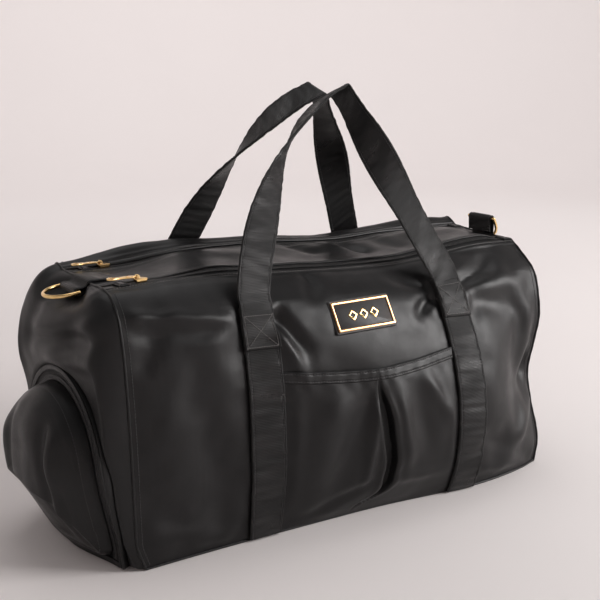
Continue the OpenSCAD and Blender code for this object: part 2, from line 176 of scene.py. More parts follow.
def bump(at, middle, width):
    """1 at the middle, and a smooth fall to 0 on both sides."""
    return np.exp(-(((np.asarray(at, float) - middle) / width) ** 2))


def unit(v):
    return v / np.maximum(np.linalg.norm(v, axis=-1, keepdims=True), 1e-9)


def grid_normals(p):
    along = np.gradient(p, axis=0)
    up = np.gradient(p, axis=1)
    return unit(np.cross(along, up))


def arc_lengths(p, axis):
    """How far along its row or column each point of a grid is."""
    steps = np.linalg.norm(np.diff(p, axis=axis), axis=-1)
    total = np.cumsum(steps, axis=axis)
    pad = [(0, 0), (0, 0)]
    pad[axis] = (1, 0)
    return np.pad(total, pad)


def waves(x, z, seed, count, short, long, height):
    """Seeded soft unevenness: crossed waves between two wavelengths."""
    rng = np.random.default_rng(seed)
    total = np.zeros(np.broadcast(x, z).shape)
    for _ in range(count):
        heading = rng.uniform(0, math.pi)
        length = rng.uniform(short, long)
        phase = rng.uniform(0, 2 * math.pi)
        along = x * math.cos(heading) + z * math.sin(heading)
        total += np.sin(2 * math.pi * along / length + phase)
    return total * height / math.sqrt(count)


def crease(x, z, start, end, height, width, fade=(0.15, 0.35), roll=0.0):
    """A ridge, or a valley if height is negative, from start to end.
    fade is the share of its length over which it rises and dies away. roll gives it a
    valley on one side, as on a fold that leans over."""
    (x0, z0), (x1, z1) = start, end
    length = math.hypot(x1 - x0, z1 - z0)
    ux, uz = (x1 - x0) / length, (z1 - z0) / length
    along = ((x - x0) * ux + (z - z0) * uz) / length
    side = (-(x - x0) * uz + (z - z0) * ux) / width
    ends = step(-fade[0], fade[0], along) * (1 - step(1 - fade[1], 1 + fade[1], along))
    return height * ends * (np.exp(-side**2) + roll * side * np.exp(-side**2))


def with_folds(rise, x, z, folds):
    """rise and every crease in a list."""
    for fold in folds:
        rise = rise + crease(x, z, *fold)
    return rise


# The bag's own shape. At each place along the bag, a profile runs from the bottom seam
# up to the zip, as its distances from the middle and its heights.

PROFILE_T = (0, 0.12, 0.27, 0.42, 0.57, 0.71, 0.81, 0.90, 1.0)
FRONT_PROFILES = {
    -267: ((105, 103, 101, 99, 95, 89, 81, 66, 50), (2, 35, 80, 130, 180, 222, 248, 264, 269)),
    -200: ((105, 106, 107, 106, 101, 93, 84, 66, 50), (2, 36, 82, 130, 180, 223, 247, 264, 271)),
    -144: ((106, 109, 112, 110, 105, 95, 87, 67, 50), (2, 38, 85, 132, 182, 223, 244, 262, 270)),
    -60: ((109, 119, 125, 124, 117, 103, 88, 67, 50), (2, 38, 85, 130, 180, 219, 241, 257, 264)),
    30: ((114, 127, 134, 132, 123, 106, 88, 67, 50), (2, 38, 85, 130, 177, 214, 238, 252, 259)),
    100: ((123, 136, 141, 137, 124, 105, 88, 67, 50), (2, 38, 82, 128, 174, 212, 238, 251, 258)),
    144: ((128, 140, 145, 141, 128, 106, 88, 67, 50), (2, 38, 80, 125, 171, 211, 240, 253, 262)),
    205: ((125, 131, 127, 119, 115, 104, 88, 67, 50), (2, 36, 78, 122, 168, 212, 241, 257, 267)),
    267: ((113, 108, 95, 88, 96, 102, 91, 68, 50), (2, 36, 74, 110, 148, 190, 232, 253, 266)),
}
BACK_PROFILES = {
    -267: ((105, 104, 103, 101, 98, 92, 85, 69, 50), (2, 35, 80, 130, 180, 222, 250, 274, 271)),
    -200: ((106, 110, 114, 113, 107, 96, 87, 69, 50), (2, 38, 84, 130, 180, 222, 252, 283, 271.5)),
    -144: ((107, 114, 120, 119, 111, 97, 88, 69, 50), (2, 38, 85, 130, 180, 222, 252, 286, 277)),
    -30: ((110, 122, 129, 128, 120, 102, 87, 69, 50), (2, 38, 85, 130, 180, 222, 252, 281, 277)),
    80: ((110, 122, 129, 128, 119, 102, 87, 69, 50), (2, 38, 85, 130, 180, 221, 250, 274, 271)),
    144: ((109, 119, 125, 124, 115, 99, 88, 69, 50), (2, 38, 85, 130, 180, 222, 252, 278, 273)),
    200: ((107, 113, 118, 117, 110, 97, 86, 69, 50), (2, 38, 84, 130, 180, 222, 252, 281, 271.5)),
    267: ((105, 104, 102, 100, 98, 92, 84, 69, 50), (2, 35, 80, 130, 180, 222, 252, 278, 270.5)),
}

# Folds as (start, end, height, width, fade, roll), as crease() takes them
FRONT_FOLDS = (
    ((-262, 246), (-150, 232), 3.0, 7, (0.2, 0.2)),
    ((-262, 232), (-152, 220), -2.2, 9, (0.2, 0.2)),
    ((-104, 232), (-78, 196), -7.0, 9, (0.1, 0.5)),
    ((-102, 214), (-84, 170), 5.0, 8, (0.2, 0.5)),
    ((-148, 228), (-190, 214), 2.0, 10, (0.1, 0.5), 0.6),
    ((104, 236), (62, 246), -6.0, 8, (0.1, 0.5)),
    ((104, 226), (74, 214), -7.0, 8, (0.1, 0.4), 0.4),
    ((100, 214), (40, 226), 3.0, 9, (0.1, 0.6)),
    ((146, 232), (214, 252), -6.0, 9, (0.1, 0.4), 0.3),
    ((146, 222), (232, 230), 4.0, 11, (0.1, 0.5)),
    ((150, 210), (236, 196), -3.0, 15, (0.1, 0.5), 0.3),
    ((246, 190), (222, 70), 5.0, 12, (0.3, 0.4)),
    ((262, 128), (224, 104), -7.0, 16, (0.1, 0.6), 0.3),
    ((258, 92), (196, 36), 5.0, 15, (0.2, 0.5), 0.3),
    ((150, 60), (232, 22), -4.0, 12, (0.2, 0.4), 0.4),
    ((150, 22), (210, 14), 2.5, 8, (0.2, 0.5), 0.4),
    ((-258, 30), (-170, 12), 2.0, 12, (0.2, 0.5), 0.4),
    ((-252, 190), (-210, 60), 2.2, 26, (0.3, 0.5)),
    ((-200, 200), (-176, 40), -1.8, 22, (0.3, 0.5)),
    ((-40, 258), (-58, 240), -2.5, 10, (0.2, 0.5)),
)
BACK_FOLDS = (
    ((-104, 232), (-70, 190), -6.0, 10, (0.1, 0.5)),
    ((104, 232), (66, 200), -6.0, 10, (0.1, 0.5), 0.3),
    ((-148, 230), (-220, 205), -4.0, 11, (0.1, 0.5), 0.3),
    ((148, 230), (226, 212), -4.0, 12, (0.1, 0.5), 0.3),
    ((-90, 140), (0, 96), 3.5, 20, (0.3, 0.5), 0.4),
    ((96, 120), (20, 60), -3.5, 18, (0.3, 0.5), 0.4),
    ((-250, 110), (-180, 70), -4.0, 16, (0.2, 0.5), 0.3),
    ((250, 120), (186, 80), -5.0, 16, (0.2, 0.5), 0.3),
    ((-100, 24), (0, 14), 2.5, 10, (0.2, 0.5), 0.4),
    ((100, 26), (10, 14), 2.5, 10, (0.2, 0.5), 0.4),
)


def cornered(x, z):
    """x drawn in a little towards the rounded bottom corners."""
    low = 1 - step(-6, 30, z)
    return x - np.sign(x) * 9.0 * low * step(232, END_X, np.abs(x))


class Wall:
    """A long wall as a smooth surface: x runs along the bag, t up the wall.
    side is -1 for the front and 1 for the back."""

    def __init__(self, profiles, folds, side, seed):
        self.stations = sorted(profiles)
        self.profiles = np.array([np.transpose(profiles[x]) for x in self.stations], float)
        self.folds = folds
        self.side = side
        self.seed = seed
        self.settled = None

    def plain(self, x, t):
        x, t = both(x, t)
        rows = np.moveaxis(self.profiles, 1, 0)
        knots = np.stack([through(self.stations, row, x) for row in rows], axis=-2)
        yz = along_profile(knots, t)
        return np.stack([cornered(x, yz[..., 1]), self.side * yz[..., 0], yz[..., 1]], axis=-1)

    def lift(self, x, z):
        total = waves(x, z, self.seed, 12, 70, 190, 0.9)
        total = total + waves(x, z, self.seed + 1, 10, 28, 60, 0.22)
        total = with_folds(total, x, z, self.folds)
        seam = step(0, 14, z) * step(0, 16, END_X - np.abs(x))
        if self.side < 0:
            seam = seam * (1 - bump(x, 0, 44) * bump(z, PLAQUE_Z, 24))
        return total * seam

    def point(self, x, t, out=0.0):
        x, t = both(x, t)
        p = self.plain(x, t)
        lift = self.lift(x, p[..., 2]) * (1 - step(0.93, 1.0, t))
        p = p + self.normal(x, t) * (lift + np.asarray(out, float))[..., None]
        if self.settled is not None:
            p = p + self.settled(x, t)
        return p

    def normal(self, x, t):
        nearby_x, nearby_t = 0.5, 0.5 / 300
        right = self.plain(np.clip(x + nearby_x, -END_X, END_X), t)
        left = self.plain(np.clip(x - nearby_x, -END_X, END_X), t)
        above = self.plain(x, np.clip(t + nearby_t, 0, 1))
        below = self.plain(x, np.clip(t - nearby_t, 0, 1))
        return unit(np.cross(right - left, above - below)) * -self.side

    def t_at(self, x, z):
        """t where the wall is at height z."""
        x, z = both(x, z)
        low = np.zeros(x.shape)
        high = np.full(x.shape, 0.9)
        for _ in range(18):
            middle = (low + high) / 2
            above = self.plain(x, middle)[..., 2] > z
            high = np.where(above, middle, high)
            low = np.where(above, low, middle)
        return (low + high) / 2

    def at(self, x, z, out=0.0):
        return self.point(x, self.t_at(x, z), out)


def along_profile(knots, t):
    """Points at t on curves whose knots differ from place to place."""
    k = np.asarray(PROFILE_T)
    slope = np.gradient(knots, k, axis=-2)
    i = np.clip(np.searchsorted(k, t, side="right") - 1, 0, len(k) - 2)
    width = (k[i + 1] - k[i])[..., None]
    a, b, c, d = hermite(((t - k[i])[..., None]) / width)

    def pick(values, index):
        return np.take_along_axis(values, index[..., None, None], axis=-2)[..., 0, :]

    return (a * pick(knots, i) + b * width * pick(slope, i)
            + c * pick(knots, i + 1) + d * width * pick(slope, i + 1))


FRONT = Wall(FRONT_PROFILES, FRONT_FOLDS, -1, 11)
BACK = Wall(BACK_PROFILES, BACK_FOLDS, 1, 23)

# The top between the two walls, as heights over (x, y)

SAG_X = (-267, -200, -100, 0, 100, 200, 267)
SAG_DEPTH = (0.5, 2, 6, 8, 7, 3, 1)
TOP_FOLDS = (
    ((-10, 34), (26, 6), -4.5, 10, (0.2, 0.3)),
    ((40, 36), (58, 4), 3.5, 9, (0.2, 0.3)),
    ((62, 30), (86, -6), -5.0, 10, (0.2, 0.3)),
    ((110, 34), (130, -20), -3.0, 12, (0.2, 0.3)),
    ((-150, 30), (-60, 2), 2.5, 14, (0.2, 0.3), 0.3),
    ((-170, -20), (-60, -26), -1.8, 12, (0.2, 0.3)),
    ((150, 20), (230, 0), 2.5, 16, (0.2, 0.3), 0.3),
    ((-255, 18), (-200, 30), -2.5, 10, (0.2, 0.3), 0.3),
    ((235, 30), (262, -34), -3.0, 12, (0.2, 0.3), 0.3),
)


def top_z(x, y):
    x, y = both(x, y)
    front = FRONT.plain(x, 1.0)[..., 2]
    back = BACK.plain(x, 1.0)[..., 2]
    share = (y + WALL_EDGE) / (2 * WALL_EDGE)
    middle = np.clip(1 - (y / WALL_EDGE) ** 2, 0, 1)
    z = front + (back - front) * step(-0.15, 1.15, share)
    z = z - through(SAG_X, SAG_DEPTH, x) * middle
    z = z + 6.5 * step(-52, -36, y) * step(52, 20, y) * step(-205, -140, x) * step(262, 225, x)
    folds = with_folds(0.0, x, y, TOP_FOLDS)
    ends = step(0, 20, END_X - np.abs(x))
    return z + folds * middle * ends + waves(x, y, 31, 10, 40, 110, 0.5) * middle


def top_point(x, y, out=0.0):
    return stacked(x, y, top_z(x, y) + out)


def stitched_edge(inside):
    """Height of a folded, topstitched edge over the cloth, by the distance inside it."""
    turned = -1.2 * (1 - step(-0.2, 0.9, inside)) + 0.7 * (1 - step(5.5, 8.5, inside))
    return turned - 0.75 * bump(inside, 3.4, 0.8)


# Mesh making

class Skin:
    """Collects quads in millimetres, with a cloth coordinate at each point."""

    def __init__(self):
        self.points, self.quads, self.cloth, self.caps = [], [], [], []
        self.count = 0

    def add(self, points, quads, cloth=None):
        points = np.asarray(points, float).reshape(-1, 3)
        self.points.append(points)
        self.quads.append(np.asarray(quads, int).reshape(-1, 4) + self.count)
        self.cloth.append(points if cloth is None else np.asarray(cloth, float).reshape(-1, 3))
        self.count += len(points)
        return self

    def shell(self, outer, thick, wrap=False, hint=None):
        """A closed skin: the outer grid, the same grid moved inwards, and its rim."""
        if hint is not None and np.sum(grid_normals(outer) @ np.asarray(hint, float)) < 0:
            outer = outer[::-1]
        normal = grid_normals(outer)
        if wrap:
            normal = grid_normals(np.concatenate([outer[-1:], outer, outer[:1]]))[1:-1]
        inner = outer - normal * np.asarray(thick, float)[..., None]
        return self.between(outer, inner, wrap)

    def between(self, outer, inner, wrap=False):
        """A closed skin between two grids of the same size."""
        u, v = arc_lengths(outer, 0), arc_lengths(outer, 1)
        near, far = stacked(u, v, 0.0), stacked(u, v, 50.0)
        index = numbered(*outer.shape[:2])
        behind = index.size
        if wrap:
            index = looped(index)
        faces = [cells(index), cells(index)[:, ::-1] + behind]
        faces += [rim(index[:, 0], behind, True), rim(index[:, -1], behind, False)]
        if not wrap:
            faces += [rim(index[0, :], behind, False), rim(index[-1, :], behind, True)]
        points = np.concatenate([outer.reshape(-1, 3), inner.reshape(-1, 3)])
        cloth = np.concatenate([near.reshape(-1, 3), far.reshape(-1, 3)])
        return self.add(points, np.concatenate(faces), cloth)

    def copies(self, shape, origins, along, up):
        """One copy of a small shape (points, quads) at each origin."""
        points, quads = shape
        along = unit(along)
        across = unit(np.cross(up, along))
        up = np.cross(along, across)
        placed = (origins[:, None, :] + points[None, :, 0:1] * along[:, None, :]
                  + points[None, :, 1:2] * across[:, None, :] + points[None, :, 2:3] * up[:, None, :])
        shift = (np.arange(len(origins)) * len(points))[:, None, None]
        local = np.broadcast_to(points[None], placed.shape)
        return self.add(placed, quads[None] + shift, local + 7.0)

    def tube(self, path, radius, sides=10, closed=False):
        """A round cord along a path."""
        tangent = unit(np.gradient(path, axis=0))
        if closed:
            tangent = unit(np.roll(path, -1, axis=0) - np.roll(path, 1, axis=0))
        never_along = (0.31, 0.17, 0.93)
        side = unit(np.cross(tangent, never_along))
        other = np.cross(tangent, side)
        angle = np.arange(sides) / sides * 2 * math.pi
        turn = angle[None, :, None]
        ring = side[:, None, :] * np.cos(turn) + other[:, None, :] * np.sin(turn)
        radius = np.broadcast_to(np.asarray(radius, float), (len(path),))
        points = path[:, None, :] + ring * radius[:, None, None]
        index = numbered(len(path), sides)
        around = looped(index.T).T
        quads = cells(looped(around) if closed else around)
        cloth = stacked(run_along(path)[:, None], angle[None, :] * 2, 0.0)
        if not closed:
            caps = []
            for row, order in ((index[0], -1), (index[-1], 1)):
                row = row[::order]
                caps += [[row[0], row[i], row[i + 1], row[i + 2]] for i in range(1, sides - 2, 2)]
            quads = np.concatenate([quads, np.array(caps)])
        return self.add(points, quads, cloth)

    def rings(self, loops, closed=False):
        """Joins closed loops of points into a skin. Unless it closes on itself, both
        ends are capped."""
        first = self.count
        index = numbered(len(loops), len(loops[0]))
        around = looped(index.T).T
        self.add(np.concatenate(loops), turned_over(cells(looped(around) if closed else around)))
        if not closed:
            self.caps.append(index[0][::-1] + first)
            self.caps.append(index[-1] + first)
        return self

    def round_sheet(self, grid, thick, hint):
        """A closed skin over a grid that spreads from a hub, and the hub's own cap."""
        self.shell(grid, thick, wrap=True, hint=hint)
        hub = grid[:, 0]
        return self.rings([hub - thick * np.array(hint), hub])

    def build(self, name, material, slot, nodes=(), body="bag"):
        """The finished object, in metres, riding on its body."""
        points = np.concatenate(self.points) * MM
        quads = np.concatenate(self.quads)
        cloth = np.concatenate(self.cloth) * MM
        mesh = bpy.data.meshes.new(name)
        mesh.vertices.add(len(points))
        mesh.vertices.foreach_set("co", points.astype(np.float32).ravel())
        corners = np.concatenate([quads.ravel()] + [np.asarray(c, int) for c in self.caps])
        sizes = np.array([4] * len(quads) + [len(c) for c in self.caps])
        starts = np.concatenate([[0], np.cumsum(sizes)[:-1]])
        mesh.loops.add(len(corners))
        mesh.loops.foreach_set("vertex_index", corners.astype(np.int32))
        mesh.polygons.add(len(sizes))
        mesh.polygons.foreach_set("loop_start", starts.astype(np.int32))
        mesh.update(calc_edges=True)
        mesh.validate()
        attribute = mesh.attributes.new("cloth", "FLOAT_VECTOR", "POINT")
        attribute.data.foreach_set("vector", cloth.astype(np.float32).ravel())
        mesh.polygons.foreach_set("use_smooth", np.ones(len(mesh.polygons), bool))
        mesh.set_sharp_from_angle(angle=math.radians(48))
        mesh.materials.append(material)
        piece = linked(name, mesh)
        if body is not None:
            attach(piece, body)
        if nodes:
            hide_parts(*nodes)
        return piece


def rim(line, shift, forward):
    """The quads between an edge of a skin and the same edge on its other face."""
    a, b = line[:-1], line[1:]
    quad = np.stack([a, a + shift, b + shift, b], axis=-1)
    return quad if forward else quad[:, ::-1]


def capsule(length, radius, bow=0.0, flat=1.0):
    """A small six-sided rod along X. bow lifts its middle, flat squeezes its height."""
    sides = 6
    half = length / 2
    full = half - radius * 0.7
    stations = ((-half, 0.35), (-full, 1.0), (0, 1.0), (full, 1.0), (half, 0.35))
    angle = np.arange(sides) / sides * 2 * math.pi
    points = [stacked(x, radius * size * np.cos(angle),
                      radius * size * flat * np.sin(angle) + bow * (1 - (x / half) ** 2))
              for x, size in stations]
    index = numbered(len(stations), sides)
    last = index[-1, 0]
    caps = []
    for i in range(1, sides - 2, 2):
        caps.append([0, i + 2, i + 1, i])
        caps.append([last, last + i, last + i + 1, last + i + 2])
    return np.concatenate(points), np.concatenate([turned_over(cells(looped(index.T).T)), caps])


def evenly(path, pitch, start=0.0):
    """Points and directions every pitch along a path."""
    length = run_along(path)
    at = np.arange(start + pitch / 2, length[-1], pitch)
    along = sampled(path, length, at + 0.5) - sampled(path, length, at - 0.5)
    return sampled(path, length, at), unit(along)


STITCH = capsule(2.5, 0.36)


def sew(skin, path, up, pitch=3.3):
    """A row of stitches along a path. up is their outward direction, one for all or one each."""
    points, along = evenly(np.asarray(path, float), pitch)
    up = np.asarray(up, float)
    if up.ndim > 1:
        up = unit(sampled(up, np.linspace(0, 1, len(up)), np.linspace(0, 1, len(points))))
    return skin.copies(STITCH, points, along, np.broadcast_to(up, points.shape))


# Materials

def material(name, colour, roughness, metallic=0.0, sheen=0.0, specular=0.5):
    made = bpy.data.materials.new(name)
    made.use_nodes = True
    values = {"Base Color": (*colour, 1), "Roughness": roughness, "Metallic": metallic,
              "Specular IOR Level": specular, "Sheen Weight": sheen, "Sheen Roughness": 0.45,
              "Sheen Tint": (1, 1, 1, 1)}
    for key, value in values.items():
        made.node_tree.nodes["Principled BSDF"].inputs[key].default_value = value
    return made


class Graph:
    """Short names for the nodes of one material."""

    def __init__(self, made):
        self.tree = made.node_tree
        self.shader = self.tree.nodes["Principled BSDF"]

    def node(self, kind, inputs, **settings):
        """A new node. Each input is another node's output, or its own fixed value."""
        made = self.tree.nodes.new(kind)
        for key, value in settings.items():
            setattr(made, key, value)
        for key, value in inputs.items():
            if isinstance(value, bpy.types.NodeSocket):
                self.tree.links.new(value, made.inputs[key])
            else:
                made.inputs[key].default_value = value
        return made.outputs

    def cloth(self, scale=(1, 1, 1)):
        """The piece's own cloth coordinates, in metres, stretched by scale."""
        own = self.node("ShaderNodeAttribute", {}, attribute_name="cloth")["Vector"]
        return self.node("ShaderNodeMapping", {"Scale": scale, "Vector": own})["Vector"]

    def noise(self, vector, scale, detail=3.0, roughness=0.5):
        inputs = {"Vector": vector, "Scale": scale, "Detail": detail, "Roughness": roughness}
        return self.node("ShaderNodeTexNoise", inputs)["Fac"]

    def place(self):
        return self.node("ShaderNodeTexCoord", {})["Object"]

    def grain(self, scale, detail=3.0, roughness=0.5):
        """Noise in the object's own space."""
        return self.noise(self.place(), scale, detail, roughness)

    def bands(self, vector, direction, period, distortion=0.0):
        """Parallel bands across one direction, one every period metres."""
        inputs = {"Vector": vector, "Scale": 0.314159 / period, "Distortion": distortion}
        return self.node("ShaderNodeTexWave", inputs, wave_type="BANDS", bands_direction=direction)["Fac"]

    def ramp(self, fac, low, high, start=0.3, end=0.7):
        """low to high as fac goes from start to end. Both are colours or both are numbers."""
        made = self.tree.nodes.new("ShaderNodeValToRGB")
        for element, position, tone in zip(made.color_ramp.elements, (start, end), (low, high)):
            element.position = position
            element.color = (*(tone if hasattr(tone, "__len__") else (tone,) * 3), 1)
        self.tree.links.new(fac, made.inputs["Fac"])
        return made.outputs["Color"]

    def mix(self, a, b, fac, blend="MIX"):
        """Two linked signals mixed by a fixed share."""
        inputs = {"Factor": fac, "A": a, "B": b}
        return self.node("ShaderNodeMix", inputs, data_type="RGBA", blend_type=blend)["Result"]

    def relief(self, height, distance, below=None):
        inputs = {"Height": height, "Distance": distance, "Strength": 1.0}
        if below is not None:
            inputs["Normal"] = below
        return self.node("ShaderNodeBump", inputs)["Normal"]

    def finish(self, colour, roughness=None, normal=None):
        for name, source in (("Base Color", colour), ("Roughness", roughness), ("Normal", normal)):
            if source is not None:
                self.tree.links.new(source, self.shader.inputs[name])


def woven(name, dark, light, roughness, sheen, thread=0.0006, relief=0.00003, crumple=0.0002, specular=0.5):
    """Plain-woven satin cloth: crossed threads, uneven dye and a faint crumple."""
    made = material(name, dark, roughness[0], sheen=sheen, specular=specular)
    g = Graph(made)
    vector = g.cloth()
    weave = g.mix(g.bands(vector, "X", thread), g.bands(vector, "Y", thread), 0.5, "DIFFERENCE")
    soft = g.relief(g.grain(75.0), crumple)
    g.finish(g.ramp(g.grain(26.0, 5.0, 0.6), dark, light, 0.3, 0.75),
             g.ramp(g.grain(60.0, 4.0), roughness[0], roughness[1]), g.relief(weave, relief, soft))
    return made


def ribbed_webbing(name, dark, light):
    """Heavy tape: cross ribs, edge cords, and glossier patches whose colour is painted lighter as a painted
    sheen.
    """
    made = material(name, dark, 0.36, sheen=0.01, specular=0.36)
    g = Graph(made)
    vector = g.cloth()
    # One noise sets both the roughness patches and a painted sheen: where the tape is glossier, its colour
    # is painted lighter.
    gloss_and_painted_sheen = g.noise(g.cloth((1, 0.3, 1)), 42.0, 4.0, 0.55)
    surface = g.mix(g.bands(vector, "X", 0.0016, 0.4), g.bands(vector, "Y", 0.0011), 0.28)
    g.finish(g.ramp(gloss_and_painted_sheen, light, dark, 0.32, 0.55), g.ramp(gloss_and_painted_sheen, 0.22, 0.6, 0.34, 0.56),
             g.relief(surface, 0.00022))
    return made


def polished_metal(name, colour, edge, roughness):
    made = material(name, colour, roughness, metallic=1.0)
    g = Graph(made)
    g.finish(g.ramp(g.grain(240.0, 5.0, 0.6), edge, colour, 0.25, 0.6),
             g.ramp(g.grain(700.0, 4.0, 0.7), roughness * 0.75, roughness * 1.7, 0.3, 0.75),
             g.relief(g.grain(1500.0, 2.0), 0.00001))
    return made


def fine_leather(name, colour):
    made = material(name, colour, 0.42, specular=0.45)
    g = Graph(made)
    hide = g.node("ShaderNodeTexVoronoi", {"Scale": 1400.0, "Vector": g.place()})["Distance"]
    g.finish(g.ramp(hide, colour, tuple(c * 1.8 for c in colour), 0.1, 0.8),
             g.ramp(g.grain(300.0), 0.36, 0.5), g.relief(hide, 0.00008))
    return made


def moulded(name, colour, light, roughness):
    made = material(name, colour, roughness)
    g = Graph(made)
    g.finish(g.ramp(g.grain(420.0), colour, light, 0.3, 0.75),
             g.ramp(g.grain(900.0, 2.0), roughness * 0.85, roughness * 1.25),
             g.relief(g.grain(2600.0, 2.0), 0.00002))
    return made


NYLON = woven("black_nylon", (0.0038, 0.0035, 0.0037), (0.0070, 0.0065, 0.0069), (0.34, 0.44), 0.015,
              specular=0.33)
THREAD = moulded("black_thread", (0.022, 0.021, 0.022), (0.045, 0.043, 0.044), 0.45)
PALE_THREAD = moulded("worn_black_thread", (0.06, 0.057, 0.056), (0.16, 0.15, 0.145), 0.5)
# The lighter of the two webbing colours is a painted sheen on the glossier patches; the darker is the
# webbing's own black.
WEBBING = ribbed_webbing("black_webbing", (0.0020, 0.0018, 0.0019), (0.0110, 0.0102, 0.0104))
TAPE = woven("zip_tape", (0.006, 0.0058, 0.006), (0.011, 0.0105, 0.0108), (0.55, 0.7), 0.03, 0.0009, 0.00006,
             0.00004, 0.3)
COIL = moulded("zip_coil", (0.012, 0.0115, 0.012), (0.022, 0.021, 0.022), 0.3)
GOLD = polished_metal("light_gold", (0.93, 0.66, 0.30), (0.80, 0.52, 0.22), 0.16)
ROSE_GOLD = polished_metal("rose_gold", (0.86, 0.52, 0.27), (0.74, 0.42, 0.20), 0.2)
LEATHER = fine_leather("dark_leather", (0.016, 0.0145, 0.0145))
LINING = woven("grey_lining", (0.055, 0.055, 0.062), (0.085, 0.085, 0.094), (0.6, 0.75), 0.1, 0.0008,
               0.00006, 0.00015)
BOARD = moulded("base_board_fibre", (0.035, 0.035, 0.037), (0.06, 0.06, 0.062), 0.65)


# Walls and top strips

X_STEP = 3.0
SHOULDER_T = 0.81


def spread(low, high, gap):
    return np.linspace(low, high, max(2, int(round(abs(high - low) / gap)) + 1))


def near_edges(low, high, gap, edge):
    """Samples from low to high, closer together near both ends."""
    fine = np.array([0, 0.3, 0.7, 1.2, 1.9, 2.7, 3.4, 4.1, 5.2, 6.6, 8.5])
    fine = fine[fine < edge]
    inner = spread(low + edge, high - edge, gap)
    return np.concatenate([low + fine, inner, (high - fine)[::-1]])


def make_wall(wall, name):
    x = -wall.side * spread(-END_X, END_X, X_STEP)
    t = np.linspace(0, SHOULDER_T, 92)
    Skin().shell(wall.point(x[:, None], t[None, :]), FABRIC).build(name, NYLON, "nylon", [name])


def make_top_strip(wall, name):
    x = -wall.side * spread(-END_X, END_X, X_STEP)
    t = np.concatenate([np.linspace(SHOULDER_T, 0.955, 22), np.linspace(0.96, 1.0, 22)])
    inside = np.abs(wall.plain(x[:, None], t[None, :])[..., 1]) - WALL_EDGE
    strip = wall.point(x[:, None], t[None, :], stitched_edge(inside))
    Skin().shell(strip, FABRIC).build(name, NYLON, "nylon", [name])


def make_bottom():
    x = spread(-END_X, END_X, 6.0)[:, None]
    front = FRONT.plain(x, 0.0)[..., 1]
    back = BACK.plain(x, 0.0)[..., 1]
    share = np.linspace(0, 1, 40)[None, :]
    y = front + (back - front) * share
    edge = np.minimum(share, 1 - share)
    z = 0.15 + 1.9 * (1 - step(0, 0.06, edge)) + 0.25 * (1 + waves(x, y, 71, 8, 60, 150, 0.5))
    z = np.maximum(z, 0.05)
    sheet = Skin().shell(stacked(cornered(x, z), y, z), 1.4, hint=(0, 0, -1))
    sheet.build("bottom_panel_skin", NYLON, "nylon", ["bottom_panel"])


def end_outline(x):
    """The end's closed outline, from the front bottom corner up, over and down the back."""
    t = np.linspace(0, 1, 60)
    front = FRONT.plain(x, t)
    back = BACK.plain(x, t[::-1])
    top = top_point(x, spread(-WALL_EDGE, WALL_EDGE, 4.0)[1:-1])
    under = spread(back[-1, 1], front[0, 1], 5.0)[1:-1]
    foot = stacked(cornered(x, 1.2), under, 1.2)
    return np.concatenate([front, top, back, foot])


def resampled(path, count):
    """A closed outline as count even points."""
    ring = looped(path)
    length = run_along(ring)
    return sampled(ring, length, np.linspace(0, length[-1], count + 1)[:-1])


def arch_path(x, radius, low, count=160):
    """Up the front leg, over the half round and down the back leg, at one radius."""
    leg = SHOE_CENTRE_Z - low
    total = 2 * leg + math.pi * radius
    s = np.linspace(0, total, count)
    angle = np.clip((s - leg) / radius, 0, math.pi)
    z = SHOE_CENTRE_Z + radius * np.sin(angle)
    z = np.where(s < leg, low + s, z)
    z = np.where(s > total - leg, low + (total - s), z)
    return stacked(float(x), -radius * np.cos(angle), z)


LEFT_FOLDS = (
    ((-78, 262), (-20, 214), -4.0, 10, (0.1, 0.3), 0.3),
    ((-84, 246), (30, 222), 5.0, 11, (0.2, 0.3), 0.3),
    ((-86, 226), (46, 204), -4.0, 8, (0.2, 0.3), 0.3),
    ((-88, 206), (10, 196), 4.0, 9, (0.2, 0.3)),
    ((-98, 190), (-96, 60), -3.0, 5, (0.1, 0.3), 0.4),
    ((20, 262), (60, 200), -4.0, 10, (0.2, 0.3), 0.3),
    ((84, 250), (96, 150), 3.0, 9, (0.2, 0.3), 0.3),
)
RIGHT_FOLDS = (
    ((-80, 246), (-10, 214), -6.0, 12, (0.1, 0.3), 0.3),
    ((-96, 176), (10, 160), 6.0, 16, (0.1, 0.3), 0.3),
    ((-84, 112), (20, 128), -8.0, 16, (0.05, 0.4), 0.3),
    ((-90, 60), (30, 84), 5.0, 16, (0.1, 0.3), 0.3),
    ((-90, 22), (30, 34), -4.0, 12, (0.1, 0.3), 0.3),
    ((86, 240), (20, 180), -5.0, 14, (0.1, 0.3), 0.3),
    ((96, 130), (10, 96), 5.0, 18, (0.1, 0.4), 0.3),
    ((96, 50), (10, 54), -5.0, 14, (0.1, 0.4), 0.3),
)


def disc(outline, centre, share):
    """A grid that spreads from near the centre out to a closed outline."""
    return centre + (outline - centre)[:, None, :] * share[None, :, None]


def left_swell(y, z, inwards, outwards):
    """How far the left end's cloth stands out, from its distance to the arch and to the seam.
    It is stuffed out as far as the shoe pocket's face, then drops steeply at both edges."""
    full = -END_X - shoe_x(y, z) - 3.0 + 13.0 * step(-70, 50, y) * bump(z, 214, 52)
    full = full * (1 - 0.96 * bump(y, 0, 34) * step(243, 259, z))
    near_arch = np.clip(inwards / 9.0, 0, 1)
    near_seam = np.clip(outwards / (6.0 + 22.0 * step(150, 235, z)), 0, 1)
    rounded_in = np.sqrt(1 - (1 - near_arch) ** 2)
    rounded_out = (1 - (1 - near_seam) ** 2.2) ** 0.6
    return full * rounded_in * rounded_out


